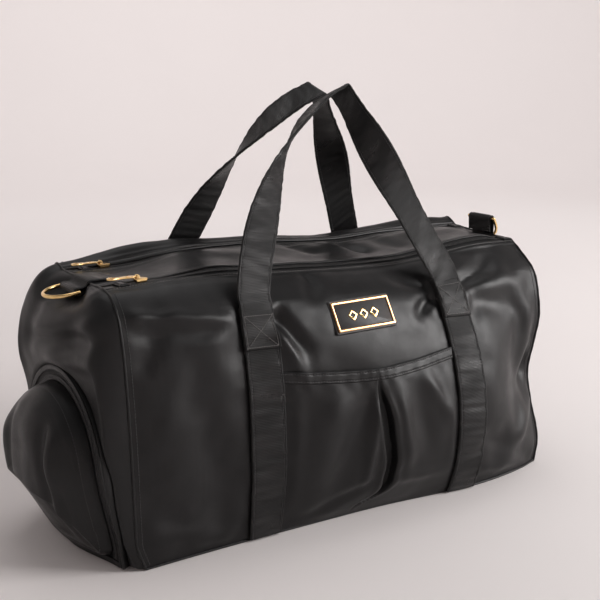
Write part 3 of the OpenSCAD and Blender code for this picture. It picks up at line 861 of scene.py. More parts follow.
def make_left_end():
    """The left end's cloth, between its seam and the arched shoe pocket."""
    outline = resampled(end_outline(-END_X), 300)
    arch = arch_path(-END_X, SHOE_HALF + 1.0, 7.0, 300)
    hole = np.concatenate([arch, stacked(-END_X, np.linspace(91, -91, 60), 5.0)])
    turn = np.arctan2(outline[:, 2] - 96.0, outline[:, 1])
    turns = np.arctan2(hole[:, 2] - 96.0, hole[:, 1])
    order = np.argsort(turns)
    inner = np.stack([np.interp(turn, turns[order], hole[order, i], period=2 * math.pi)
                      for i in range(3)], axis=-1)
    share = (0.5 - 0.5 * np.cos(np.linspace(0, math.pi, 56)))[None, :]
    grid = inner[:, None, :] + (outline - inner)[:, None, :] * share[..., None]
    width = np.linalg.norm(outline - inner, axis=1)[:, None]
    y, z = grid[..., 1], grid[..., 2]
    swell = left_swell(y, z, width * share + 0.001, width * (1 - share))
    rise = with_folds(waves(y, z, 41, 10, 50, 130, 0.9), y, z, LEFT_FOLDS)
    rise = rise * step(0, 0.15, share) * step(0, 0.15, 1 - share)
    rise = rise * np.clip(width / 40, 0.2, 1)
    grid[..., 0] -= np.maximum(swell + rise, 0.0)
    skin = Skin().shell(grid, FABRIC, wrap=True, hint=(-1, 0, 0))
    welt(skin, -END_X)
    skin.build("left_end_cloth", NYLON, "nylon", ["left_end_panel"])


def make_right_end():
    """The right end's cloth, pulled in at the waist."""
    share = np.linspace(0.02, 1, 52)
    grid = disc(resampled(end_outline(END_X), 260), np.array([END_X, 2.0, 128.0]), share)
    y, z = grid[..., 1], grid[..., 2]
    rise = with_folds(waves(y, z, 47, 10, 50, 130, 0.9), y, z, RIGHT_FOLDS) * step(0, 0.2, 1 - share)
    grid[..., 0] += np.clip(12.0 * (1 - share**2) ** 1.3 + rise, -3.0, 14.0)
    skin = Skin().round_sheet(grid, FABRIC, (1, 0, 0))
    welt(skin, END_X)
    skin.build("right_end_cloth", NYLON, "nylon", ["right_end_panel"])


def welt(skin, x):
    """The corded seam round an end."""
    line = resampled(end_outline(x), 420) + np.array([math.copysign(0.4, x), 0, 0])
    along = np.arange(len(line))
    skin.tube(line, 1.35 + 0.12 * np.sin(along * 0.9) + 0.1 * np.sin(along * 0.37), 10, closed=True)


def make_seams():
    """Stitch rows beside the end seams, and the bottom's corded seams."""
    rows = Skin()
    cords = Skin()
    t = np.linspace(0.01, 0.93, 160)
    for wall in (FRONT, BACK):
        for x in (-END_X + 5.5, END_X - 5.5):
            sew(rows, wall.point(x, t, 0.15), wall.normal(x, t))
        cords.tube(wall.plain(spread(-END_X, END_X, 3.0), 0.0) + np.array([0, wall.side * 0.3, -0.4]), 1.25)
    rows.build("end_seam_stitches", THREAD, "nylon")
    cords.build("bottom_seam_cords", NYLON, "nylon")


# The top panel and its zips


def lid_half(skin, name, material_used, slot, end, nodes=()):
    """Half of a piece that meets its other half at the lid's middle, built without a body and with its
    placement baked into its points.
    """
    piece = skin.build(name, material_used, slot, nodes, None)
    if end == "left":
        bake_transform(piece)
    else:
        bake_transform(piece)


def halves(low, high, gap):
    """The left and right shares of a run along the bag, which meet at its middle."""
    count = int(round((high - low) / gap / 2)) * 2
    x = np.linspace(low, high, count + 1)
    middle = int(np.argmin(np.abs(x)))
    x[middle] = 0.0
    return ("left", x[:middle + 1]), ("right", x[middle:])


def make_center_panel():
    y = near_edges(-PANEL_EDGE, PANEL_EDGE, 3.0, 8.5)
    raised = stitched_edge(PANEL_EDGE - np.abs(y))
    nodes = {"left": ["top_center_panel", "top_left_end"], "right": ["top_right_end"]}
    for end, x in halves(-END_X, END_X, X_STEP):
        sheet = Skin().shell(top_point(x[:, None], y[None, :], raised), FABRIC)
        lid_half(sheet, f"top_center_{end}", NYLON, "nylon", end, nodes[end])


def make_zip_stops():
    """The cloth that closes the top between each zip's end and the end seam."""
    skin = Skin()
    for side in (-1, 1):
        y = np.sort(side * np.linspace(PANEL_EDGE - 1, WALL_EDGE + 1, 12))
        for low, high in ((-END_X, ZIP_FROM), (ZIP_TO, END_X)):
            x = spread(low, high, 1.5)
            skin.shell(top_point(x[:, None], y[None, :], -0.7), 1.2, hint=(0, 0, 1))
    skin.build("zip_stop_cloth", NYLON, "nylon")


def zip_tape(x, y):
    return Skin().shell(top_point(x[:, None], np.sort(y)[None, :], -1.5), TAPE_THICK)


TOOTH = capsule(3.4, 0.5, bow=0.55, flat=0.8)
TOOTH_PITCH = 1.35


def teeth(skin, path, inwards, up, start=0.0):
    """One half of a coil: loops that lie across the tape's edge."""
    points, along = evenly(path, TOOTH_PITCH, start)
    up = np.broadcast_to(np.asarray(up, float), points.shape)
    across = unit(np.cross(up, along)) * inwards
    return skin.copies(TOOTH, points - across * 1.05, across, up)


def make_top_zips():
    for side, label in ((-1, "front"), (1, "back")):
        x = spread(ZIP_FROM, ZIP_TO, X_STEP)
        tape = zip_tape(x, side * np.array([ZIP_Y + 0.35, 46, 48, 50, 52, 53.5]))
        tape.build(f"{label}_zip_outer_tape", TAPE, "coil", [f"{label}_zip_outer", f"{label}_zip_ends"])
        coil = teeth(Skin(), top_point(x, side * (ZIP_Y + 0.25), -0.75), -side, (0, 0, 1))
        coil.build(f"{label}_zip_outer_coil", COIL, "coil")
        for end, x in halves(ZIP_FROM, ZIP_TO, X_STEP):
            tape = zip_tape(x, side * np.array([34.5, 36, 38, 40, 42, ZIP_Y - 0.35]))
            nodes = [f"{label}_zip_inner"] if end == "left" else []
            lid_half(tape, f"{label}_zip_inner_tape_{end}", TAPE, "coil", end, nodes)
            coil = teeth(Skin(), top_point(x, side * (ZIP_Y - 0.25), -0.75), side, (0, 0, 1), 0.67)
            lid_half(coil, f"{label}_zip_inner_coil_{end}", COIL, "coil", end)
        sew_zip(side, label)
        zip_end_tabs(side, label)


def sew_zip(side, label):
    """Topstitching beside the zip, on the wall's edge and on the panel's edge."""
    x = spread(-END_X + 4, END_X - 4, 3.0)
    edge = top_point(x, side * WALL_EDGE)
    near = (FRONT if side < 0 else BACK).point(x, 0.985, stitched_edge(EDGE_ROW))
    path = edge + (near - edge) * (EDGE_ROW / np.linalg.norm(near - edge, axis=1))[:, None]
    path[:, 2] += 0.35
    sew(Skin(), path, (0, side * 0.25, 0.97)).build(f"{label}_zip_wall_stitches", PALE_THREAD, "nylon")
    for end, x in halves(-END_X + 4, END_X - 4, 3.0):
        rows = sew(Skin(), top_point(x, side * (PANEL_EDGE - EDGE_ROW), 0.2), (0, 0, 1))
        lid_half(rows, f"{label}_zip_panel_stitches_{end}", PALE_THREAD, "nylon", end)


def zip_end_tabs(side, label):
    for low, high, end in ((-252.0, -241.0, "left"), (254.0, 265.0, "right")):
        x = near_edges(low, high, 1.0, 3.0)
        across = near_edges(-9.0, 9.0, 1.0, 3.0)
        inside = np.minimum(np.minimum(x - low, high - x)[:, None], 9.0 - np.abs(across))
        raised = 1.9 - 1.1 * (1 - step(0, 1.3, inside)) - 0.35 * bump(inside, 2.1, 0.5)
        tab = Skin().shell(top_point(x[:, None], side * ZIP_Y + across, raised), 1.5)
        tab.build(f"{label}_zip_{end}_tab_cloth", NYLON, "nylon", [f"{label}_zip_{end}_tab"])
        x0, x1, y0, y1 = low + 2.1, high - 2.1, side * ZIP_Y - 6.9, side * ZIP_Y + 6.9
        box = np.array([(x0, y0), (x1, y0), (x1, y1), (x0, y1), (x0, y0)])
        line = np.concatenate([np.linspace(box[i], box[i + 1], 12)[:-1] for i in range(4)])
        threads = sew(Skin(), top_point(line[:, 0], line[:, 1], 2.0), (0, 0, 1), 3.0)
        threads.build(f"{label}_zip_{end}_tab_stitches", THREAD, "nylon")


# Webbing

def web_profile(across):
    """Thickness share over a webbing's width: flat, with a cord and a groove at each edge."""
    d = WEB / 2 - np.abs(across)
    return 1.0 - 0.75 * (1 - step(0, 1.0, d)) + 0.12 * bump(d, 1.3, 0.7) - 0.2 * bump(d, 3.2, 0.6)


ACROSS = np.array([-19, -18.7, -18.2, -17.6, -16.9, -16.2, -15.7, -15.1, -14, -11.5, -9, -6, -3, 0,
                   3, 6, 9, 11.5, 14, 15.1, 15.7, 16.2, 16.9, 17.6, 18.2, 18.7, 19])


def ripple(along, across, seed, height):
    """Shallow cross waves, as in webbing that was sewn under tension."""
    rng = np.random.default_rng(seed)
    total = np.zeros(np.broadcast(along, across).shape)
    for period in (9.0, 13.0, 17.0, 29.0):
        phase = rng.uniform(0, 6.28)
        lean = rng.uniform(-0.25, 0.25)
        total += np.sin(2 * math.pi * (along + lean * across) / period + phase)
    return total * height / 2


def web_shell(centre, wide, thick_way, thickness, seed, height):
    """A webbing band along a centre line."""
    rise = ripple(run_along(centre)[:, None], ACROSS[None, :], seed, height)
    line = centre[:, None, :] + wide[:, None, :] * ACROSS[None, :, None]
    half = thickness / 2 * web_profile(ACROSS)
    outer = line + thick_way[:, None, :] * (half + rise)[..., None]
    inner = line - thick_way[:, None, :] * (half - rise)[..., None]
    return Skin().between(outer, inner)


def sewn_web(wall, x, t, low, high, name):
    """A webbing band that lies on a wall, between two heights over it."""
    base = wall.point((x - wall.side * ACROSS)[None, :], t[:, None])[:, ::-1]
    normal = wall.normal(x, t)[:, None, :]
    skin = Skin().between(base + normal * high[:, ::-1, None], base + normal * low[..., None])
    skin.build(name + "_web", WEBBING, "webbing", [name])


def make_strap(wall, x, name, seed):
    """A strap sewn flat to the wall from the bottom seam to the handle's anchor."""
    z = spread(3.0, STRAP_TOP, 1.0)
    t = wall.t_at(x, z)
    over = 1.3 + 1.2 * (1 - step(160, 176, z)) if wall.side < 0 else np.full_like(z, 0.5)
    order = -wall.side * ACROSS
    high = over[:, None] + 2.0 * web_profile(order) + ripple(z[:, None], order[None, :], seed, 0.3)
    sewn_web(wall, x, t, over[:, None] - 0.4, high, name)
    rows = Skin()
    normal = wall.normal(x, t)
    for offset in (-WEB_ROW, WEB_ROW):
        sew(rows, wall.point(x + offset, t) + normal * (over + 2.05)[:, None], normal, 3.0)
    rows.build(name + "_stitches", THREAD, "webbing")


# Front pocket

def hem_z(x):
    """Height of the hem's top edge."""
    return through(HEM_X, HEM_Z, x)


def pleat_x(z):
    """The pleat's line, which leans as it falls."""
    return through((0, 13, 21, 52, 99, 150, 180), (-22, -16, 2, 15, 9, 1, 0), z)


POCKET_FOLDS = (
    ((-40, 150), (-84, 60), 4.0, 20, (0.3, 0.4)),
    ((-12, 140), (-50, 40), -5.5, 17, (0.3, 0.3)),
    ((-6, 128), (-14, 46), 4.5, 6, (0.3, 0.3)),
    ((-4, 44), (-70, 20), -3.5, 8, (0.2, 0.4), 0.6),
    ((24, 130), (38, 52), 4.5, 9, (0.3, 0.3), 0.3),
    ((44, 140), (66, 60), -3.0, 13, (0.3, 0.3), 0.3),
    ((60, 148), (94, 96), 3.5, 9, (0.3, 0.3), 0.3),
    ((26, 40), (86, 34), 2.5, 8, (0.2, 0.4), 0.8),
    ((-92, 150), (-98, 40), 2.0, 8, (0.2, 0.3)),
    ((96, 150), (100, 40), 1.5, 8, (0.2, 0.3)),
)


def pocket_out(x, z):
    """How far the pocket's cloth stands off the wall."""
    across = np.clip(1 - (np.abs(x) / POCKET_HALF) ** 2.4, 0, 1)
    rise = step(0, 46, z) * (1 - 0.55 * step(120, 176, z))
    folds = with_folds(waves(x, z, 57, 10, 40, 110, 0.7), x, z, POCKET_FOLDS)
    puckers = 0.35 * np.sin(x / 3.1 + 1.7 * np.sin(x / 17.0)) * bump(z, hem_z(x) - HEM_TALL - 3, 5)
    free = step(0, 16, POCKET_HALF + 6 - np.abs(x)) * step(0, 16, z) * (1 - 0.8 * bump(z, hem_z(x), 14))
    opening = step(10, 45, z) * (1 - step(112, 156, z))
    half = 1.2 + 4.6 * opening
    side = x - pleat_x(z)
    gap = 1 - step(half - 1.2, half + 1.6, np.abs(side))
    lips = 1.8 * opening * (bump(side, -half - 4.5, 4) + bump(side, half + 4.5, 4))
    depth = (1.5 + 11.0 * opening) * step(4, 20, z) * (1 - step(144, 162, z))
    return np.maximum(1.2 + 8.5 * across * rise + folds * free + puckers + lips - depth * gap, 0.35)


def make_pocket():
    wide = spread(-POCKET_HALF - 7, -26, 2.4)
    pleat = spread(-26, 27, 0.75)
    x = np.concatenate([wide, pleat[1:-1], spread(27, POCKET_HALF + 7, 2.4)])[:, None]
    z = 3.0 + (hem_z(x) - 4.0) * np.linspace(0, 1, 96)
    sheet = Skin().shell(FRONT.at(x, z, pocket_out(x, z)), 1.1)
    sheet.build("front_pocket_cloth", NYLON, "nylon", ["front_pocket"])


def make_hem():
    x = spread(-POCKET_HALF - 6, POCKET_HALF + 6, 1.2)
    across = x[:, None]
    depth = near_edges(0.0, HEM_TALL, 1.2, 5.2)
    z = hem_z(across) - depth
    d = np.minimum(depth, HEM_TALL - depth)
    pucker = 0.22 * np.sin(across / 1.9 + 2.0 * np.sin(across / 13.0)) * bump(d, 2.0, 2.5)
    raised = 1.5 - 1.2 * (1 - step(0, 1.0, d)) - 0.5 * bump(d, 2.4, 0.6) + pucker
    base = pocket_out(across, np.minimum(z, hem_z(across) - 1.5))
    band = Skin().shell(FRONT.at(across, z, base + raised)[:, ::-1], 2.0)
    band.build("pocket_hem_band", NYLON, "nylon", ["pocket_hem"])
    rows = Skin()
    for down in (2.4, HEM_TALL - 2.4):
        t = FRONT.t_at(x, hem_z(x) - down)
        path = FRONT.point(x, t, pocket_out(x, hem_z(x) - down) + 1.35)
        sew(rows, path, FRONT.normal(x, t), 3.2)
    rows.build("pocket_hem_stitches", THREAD, "nylon")


# Anchors and handles

def make_anchor(wall, x, name, seed):
    """The handle's end, sewn over the strap with a box and a cross of stitches."""
    z = spread(ANCHOR_LOW, ANCHOR_HIGH + 4, 1.0)
    lift = 3.9 if wall.side < 0 else 3.1
    order = -wall.side * ACROSS
    d = np.minimum(z - z[0], z[-1] - z)[:, None]
    puckers = 0.3 * ripple(z[:, None], order[None, :], seed, 1.0)
    shape = web_profile(order) * 1.8 - 1.2 * (1 - step(0, 1.2, d)) + puckers
    sewn_web(wall, x, wall.t_at(x, z), np.full((len(z), 1), lift - 0.8), lift + shape, name)
    rows = Skin()
    low, high, half = ANCHOR_LOW + 2.4, ANCHOR_HIGH - 1.0, WEB / 2 - 3.2
    corners = ((-half, low), (half, low), (half, high), (-half, high), (-half, low), (half, high))
    lines = [(corners[i], corners[i + 1]) for i in range(5)] + [((half, low), (-half, high))]
    for (x0, z0), (x1, z1) in lines:
        t = wall.t_at(x, np.linspace(z0, z1, 20))
        up = wall.normal(x, t)
        sew(rows, wall.point(x + np.linspace(x0, x1, 20), t) + up * (lift + 1.95), up, 2.6)
    rows.build(name + "_stitches", PALE_THREAD, "webbing")


def cubic(leg, t):
    """Points on a Bezier curve given by four points."""
    a, b, c, d = (np.array(p, float) for p in leg)
    t = np.asarray(t, float)[:, None]
    return (1 - t) ** 3 * a + 3 * (1 - t) ** 2 * t * b + 3 * (1 - t) * t**2 * c + t**3 * d


def handle_line(wall):
    """Centre line and width direction of a handle, from its left foot over to the right."""
    steps = np.linspace(0.06, 1, 40)
    twist = math.radians(90) * step(TWIST_FROM, TWIST_TO, steps)
    foot_z = np.array([ANCHOR_HIGH - 8.0, ANCHOR_HIGH, HINGE_Z - 3.0])
    legs = []
    for leg, foot, sign in ((LEFT_LEG, -STRAP_X, 1), (RIGHT_LEG[::-1], STRAP_X, -1)):
        path = cubic(leg, steps)
        slope = sign * unit(np.gradient(path, axis=0))
        wide = stacked(slope[:, 1] * np.cos(twist), np.sin(twist), -slope[:, 0] * np.cos(twist))
        low = wall.point(foot, wall.t_at(foot, foot_z), np.array([3.6, 4.0, 4.6]))
        high = leaned(stacked(path[:, 0], 0.0, path[:, 1]), wall.side)
        high = high + np.array([0.0, wall.side * HINGE_Y, HINGE_Z])
        flat = np.tile([float(sign), 0.0, 0.0], (3, 1))
        legs.append((np.concatenate([low, high]), np.concatenate([flat, leaned(wide, wall.side)])))
    return [np.concatenate([legs[0][k], legs[1][k][-2::-1]]) for k in (0, 1)]


def leaned(v, side):
    """Vectors tipped inwards by the handle's lean."""
    lean = math.radians(HANDLE_LEAN)
    y = v[:, 1] * math.cos(lean) - side * v[:, 2] * math.sin(lean)
    z = side * v[:, 1] * math.sin(lean) + v[:, 2] * math.cos(lean)
    return stacked(v[:, 0], y, z)


def evened(centre, wide, gap):
    """A band's line at even steps, with its width square to it."""
    length = run_along(centre)
    at = spread(0, length[-1], gap)
    line = through(length, centre, at)
    side = through(length, wide, at)
    along = unit(np.gradient(line, axis=0))
    side = unit(side - along * np.sum(side * along, axis=1, keepdims=True))
    return line, side, np.cross(along, side)


def handle_piece(skin, name, made_of, nodes=()):
    """A piece that follows the handle, built without a body and with its placement baked into its points."""
    piece = skin.build(name, made_of, "webbing", nodes, None)
    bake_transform(piece)


def make_handle(wall, label, seed):
    centre, wide = handle_line(wall)
    line, side, way = evened(centre, wide, 1.5)
    band = web_shell(line, side, way, HANDLE_THICK, seed, 0.3)
    handle_piece(band, f"{label}_handle_web", WEBBING, [f"{label}_handle"])
    rows = Skin()
    for offset in (-WEB_ROW, WEB_ROW):
        for face in (-1, 1):
            path = line + side * offset + way * face * (HANDLE_THICK / 2 + 0.05)
            sew(rows, path[6:-6], way[6:-6] * face, 3.0)
    handle_piece(rows, f"{label}_handle_stitches", THREAD)


# Plaque

def on_plaque(outline, height):
    """Plaque-plane points (right, up) at one height over the backing's foot."""
    right = np.array([1.0, 0.0, 0.0])
    t = FRONT.t_at(0.0, PLAQUE_Z)
    normal = FRONT.normal(0.0, t)
    up = unit(np.cross(normal, right))
    outline = np.asarray(outline, float)
    return FRONT.point(0.0, t) + outline[:, :1] * right + outline[:, 1:] * up + normal * height


def rounded(width, height, radius, corner=6):
    """A rectangle's outline with round corners, anticlockwise."""
    points = []
    for quarter, (sx, sy) in enumerate(((1, 1), (-1, 1), (-1, -1), (1, -1))):
        cx, cy = sx * (width / 2 - radius), sy * (height / 2 - radius)
        for k in range(corner + 1):
            angle = math.pi / 2 * (quarter + k / corner)
            points.append((cx + radius * math.cos(angle), cy + radius * math.sin(angle)))
    return np.array(points)


def make_plaque():
    w, h = PLAQUE_SIZE
    b = PLAQUE_BORDER
    backing = ((4, 4, 2.4, -1.2), (4, 4, 2.4, 0.9), (3, 3, 2.0, 1.5))
    loops = [on_plaque(rounded(w + a, h + c, r), z) for a, c, r, z in backing]
    Skin().rings(loops).build("plaque_backing_leather", LEATHER, "plaque_dark", ["plaque_backing"])
    section = ((0, 1.4), (0, 3.0), (0.5, 3.4), (b - 0.6, 3.4), (b, 3.0), (b, 1.4))
    loops = [on_plaque(rounded(w - 2 * a, h - 2 * a, max(0.4, 1.4 - a * 0.3)), z) for a, z in section]
    Skin().rings(loops, closed=True).build("plaque_rim", ROSE_GOLD, "plaque_gold", ["plaque_frame"])
    section = ((0, 1.3), (0, 2.2), (0.8, 2.5))
    loops = [on_plaque(rounded(w - 2 * b - a, h - 2 * b - a, 0.6), z) for a, z in section]
    Skin().rings(loops).build("plaque_inlay_leather", LEATHER, "plaque_dark", ["plaque_inlay"])
    emblem = Skin()
    diamond = np.array([(0.5, 0), (0, 0.5), (-0.5, 0), (0, -0.5)]) * LOZENGE * math.sqrt(2)
    hollow = diamond * 0.55
    for i in (-1, 0, 1):
        centre = np.array([i * LOZENGE_PITCH, 0.0])
        ring = ((diamond, 2.4), (diamond, 2.95), (diamond * 0.93, 3.15), (hollow * 1.1, 3.15),
                (hollow, 2.95), (hollow, 2.4))
        emblem.rings([on_plaque(centre + shape, z) for shape, z in ring], closed=True)
    emblem.build("plaque_lozenges", GOLD, "plaque_gold", ["plaque_emblem"])


# Tabs that hold the D-rings

def make_tab(points, node, seed, stitched_at):
    """A webbing tab whose middle line is given as (x, z) points, with rows of stitches
    across it at these shares of its length."""
    knots = np.array([(x, 0.0, z) for x, z in points], float)
    wide = np.tile([0.0, 1.0, 0.0], (len(knots), 1))
    line, side, way = evened(knots, wide, 0.8)
    web_shell(line, side, way, 1.9, seed, 0.12).build(f"{node}_web", WEBBING, "webbing", [node])
    rows = Skin()
    for place in stitched_at:
        i = int(len(line) * place)
        path = line[i] + side[i] * np.linspace(-15, 15, 20)[:, None] - way[i] * 1.05
        sew(rows, path, -way[i], 2.6)
    rows.build(f"{node}_stitches", PALE_THREAD, "webbing")


def loop_points(x, z, radius, start, end, count=9):
    turns = np.radians(np.linspace(start, end, count))
    return [(x + radius * math.cos(a), z + radius * math.sin(a)) for a in turns]


def make_ring_tabs():
    wire_radius = 1.9
    left_x, _, left_z = np.array(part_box("left_d_ring")[1]) / MM - wire_radius
    across = (-241.0, -248.0, -256.0, -263.0)
    on_top = [(x, float(top_z(x, 0.0)) + 1.3) for x in across]
    over = [(-268.6, 270.6), (-270.8, 266.8), (-274.6, 265.3)]
    back = [(-275.2, 259.9), (-271.6, 261.4), (-270.4, 263.4)]
    points = on_top + over + loop_points(left_x, left_z, 3.2, 85, 275) + back
    make_tab(points[::-1], "left_ring_tab", 91, (0.43, 0.47, 0.66, 0.94))
    right_x, right_z = 265.12, 287.0
    falling = [(268.3, 280), (268.3, 268), (270.0, 254), (274.5, 232), (278.8, 206)]
    falling += [(280.6, 180), (280.6, 156)]
    up = [(262.0, 271), (261.9, 280)]
    points = (up + loop_points(right_x, right_z, 3.2, 180, 0) + falling)[::-1]
    make_tab(points, "right_ring_tab", 92, (0.06, 0.19, 0.84, 0.86))


# Shoe pocket

def shoe_x(y, z):
    """The shoe pocket's face, which draws back towards its two bottom corners."""
    low = 1 - step(0, 110, z)
    side = step(10, 105, np.abs(y))
    return -END_X - 30.0 * (1 - 0.62 * low * side)


def faced(points, proud):
    """Arch points moved onto the shoe pocket's face, proud of it towards -X."""
    y, z = points[..., 1], points[..., 2]
    return stacked(shoe_x(y, z) - proud, y, z)


SHOE_FOLDS = (
    ((-36, 140), (-47, 58), -4.5, 6, (0.2, 0.4)),
    ((-52, 150), (-60, 36), 3.5, 7, (0.2, 0.3)),
    ((-60, 84), (-68, 30), -2.5, 4, (0.2, 0.4)),
    ((-14, 150), (-20, 40), 2.5, 16, (0.3, 0.4)),
    ((30, 150), (44, 30), -3.5, 9, (0.2, 0.4)),
    ((52, 130), (60, 40), 3.0, 9, (0.2, 0.4)),
    ((-50, 24), (20, 18), 2.0, 7, (0.2, 0.4), 0.5),
)


def make_shoe_gusset():
    section = ((0.0, 92.4), (0.3, 93.4), (0.55, 95.0), (0.76, 96.4), (0.9, 96.7), (0.98, 95.4), (1.02, 93.4),
               (1.01, 91.6), (1.0, 90.4), (1.0, 89.8))
    share, radius = np.array(section).T
    grid = np.stack([arch_path(0.0, r, 3.0, 150) for r in radius], axis=1)
    x, y, z = np.moveaxis(grid, -1, 0)
    x = -END_X + 0.5 + (shoe_x(y, z) + END_X - 0.5) * share
    swell = 0.03 * step(-60, 60, y) * step(40, 140, z) * step(-END_X - 2, -END_X - 20, x)
    y = y * (1 + swell)
    z = SHOE_CENTRE_Z + (z - SHOE_CENTRE_Z) * (1 + swell)
    lift = waves(z + y, x * 2, 63, 8, 30, 80, 0.5)
    y = y + lift * np.sign(y) * step(0, 10, x + END_X + 26)
    skin = Skin().shell(stacked(x, y, z), 1.4, hint=(0, 0, 0.3))
    y = spread(-90, 90, 4.0)
    face = shoe_x(y, 2.0)
    foot = ((-END_X, 2.2), ((face - END_X) / 2, 2.2), (face, 2.2), (face, 7.6), (face + 2.0, 8.2))
    skin.shell(np.stack([stacked(x, y, z) for x, z in foot], axis=1), 1.2, hint=(-0.2, 0, -1))
    skin.build("shoe_gusset_cloth", NYLON, "nylon", ["shoe_pocket_gusset"])
    cords = Skin().tube(faced(arch_path(0.0, 95.6, 3.0, 240), -0.8), 1.2, 8)
    cords.tube(arch_path(-END_X - 1.2, 93.0, 3.0, 240), 1.2, 8)
    cords.build("shoe_gusset_cords", NYLON, "nylon")
    rows = sew(Skin(), faced(arch_path(0.0, 91.2, 6.0, 260), 0.4), (-1, 0, 0))
    rows.build("shoe_gusset_stitches", THREAD, "nylon")


def flap_piece(skin, name, made_of, slot, nodes=()):
    piece = skin.build(name, made_of, slot, nodes, None)
    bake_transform(piece)


def arched_tape(low_radius, high_radius, sink):
    radii = np.linspace(low_radius, high_radius, 5)
    grid = np.stack([faced(arch_path(0.0, r, 8.0, 170), sink) for r in radii], axis=1)
    return Skin().shell(grid, TAPE_THICK, hint=(-1, 0, 0))


def make_shoe_zip():
    tape = arched_tape(SHOE_CHAIN + 0.35, 92.5, -1.5)
    tape.build("shoe_zip_outer_tape", TAPE, "coil", ["shoe_zip_outer"])
    path = faced(arch_path(0.0, SHOE_CHAIN + 0.25, 9.0, 300), -0.7)
    teeth(Skin(), path, 1, (-1, 0, 0)).build("shoe_zip_outer_coil", COIL, "coil")
    tape = arched_tape(77.5, SHOE_CHAIN - 0.35, -1.3)
    flap_piece(tape, "shoe_zip_inner_tape", TAPE, "coil", ["shoe_zip_inner"])
    path = faced(arch_path(0.0, SHOE_CHAIN - 0.25, 9.0, 300), -0.7)
    flap_piece(teeth(Skin(), path, -1, (-1, 0, 0), 0.67), "shoe_zip_inner_coil", COIL, "coil")


def flap_outline():
    radius, corner = FLAP_RADIUS, FLAP_CORNER
    arch = arch_path(0.0, radius, 20.0, 240)
    turn = np.linspace(0, math.pi / 2, 10)[1:]
    right = stacked(0.0, radius - corner + corner * np.cos(turn), 20 - corner * np.sin(turn))
    foot = stacked(0.0, spread(radius - corner, -radius + corner, 6.0)[1:-1], 11.0)
    left = right[::-1] * np.array([1, -1, 1])
    return resampled(np.concatenate([arch, right, foot, left]), 300)


def make_shoe_flap():
    outline = flap_outline()
    centre = np.array([0.0, 0.0, 88.0])
    share = np.concatenate([np.linspace(0.02, 0.9, 44), np.linspace(0.905, 1.0, 16)])
    grid = disc(outline, centre, share)
    y, z = grid[..., 1], grid[..., 2]
    width = np.linalg.norm(outline - centre, axis=1)[:, None]
    lean = 1 + 0.10 * np.tanh(y / 50) + 0.06 * step(60, 150, z)
    dome = (SHOE_BULGE - 6.0) * (1 - share**4.2) ** 0.62 * lean
    clear_of_floor = 6.0 + 0.55 * (z - 10.0)
    folds = with_folds(waves(y, z, 67, 10, 40, 110, 0.9), y, z, SHOE_FOLDS) * step(0, 0.25, 1 - share)
    out = np.clip(np.minimum(dome, clear_of_floor) + folds, -1, SHOE_BULGE)
    grid[..., 0] = shoe_x(y, z) - 0.6 - out - stitched_edge(width * (1 - share))
    flap_piece(Skin().round_sheet(grid, 1.3, (-1, 0, 0)), "shoe_flap_cloth", NYLON, "nylon", ["shoe_flap"])
    seam = 1 - EDGE_ROW / width
    path = centre + (outline - centre) * seam
    nearest = np.argmin(np.abs(share - seam), axis=1)
    path[:, 0] = grid[np.arange(len(outline)), nearest, 0] - 0.1
    flap_piece(sew(Skin(), looped(path), (-1, 0, 0)), "shoe_flap_stitches", THREAD, "nylon")


def make_shoe_compartment():
    """The lined tunnel that the shoes slide into."""
    depth = spread(-END_X - 26, -150.0, 5.0)
    radius = TUNNEL_RADIUS - 0.0002 * (depth + END_X) ** 2
    grid = np.stack([arch_path(x, r, 8.0, 110) for x, r in zip(depth, radius)], axis=1)
    x, y, z = np.moveaxis(grid, -1, 0)
    x = np.maximum(x, shoe_x(y, z) + 4.0)
    sway = waves(x * 1.5, y + z, 73, 10, 40, 100, 1.2)
    skin = Skin().shell(stacked(x, y + sway * 0.6, z + sway * 0.5 * step(20, 60, z)), 0.9, hint=(0, 0, 0.3))
    x = spread(-END_X - 24, -150.0, 5.0)[:, None]
    y = spread(-80, 80, 5.0)[None, :]
    z = 8.4 + waves(x, y, 74, 8, 30, 90, 0.4)
    skin.shell(stacked(np.maximum(x, shoe_x(y, 6.0) + 4.0), y, z), 0.9, hint=(0, 0, 1))
    arch = arch_path(TUNNEL_END_X, TUNNEL_RADIUS, 8.0, 120)
    outline = resampled(np.concatenate([arch, stacked(TUNNEL_END_X, spread(78, -78, 6.0), 8.0)]), 160)
    share = np.linspace(0.03, 1, 22)
    wall = disc(outline, np.array([TUNNEL_END_X, 0.0, 84.0]), share)
    wall[..., 0] += waves(wall[..., 1], wall[..., 2], 75, 8, 40, 100, 1.4) * (1 - share**4)
    skin.round_sheet(wall, 0.9, (-1, 0, 0))
    skin.build("shoe_compartment_lining", LINING, "lining", ["shoe_compartment"])


# Inside

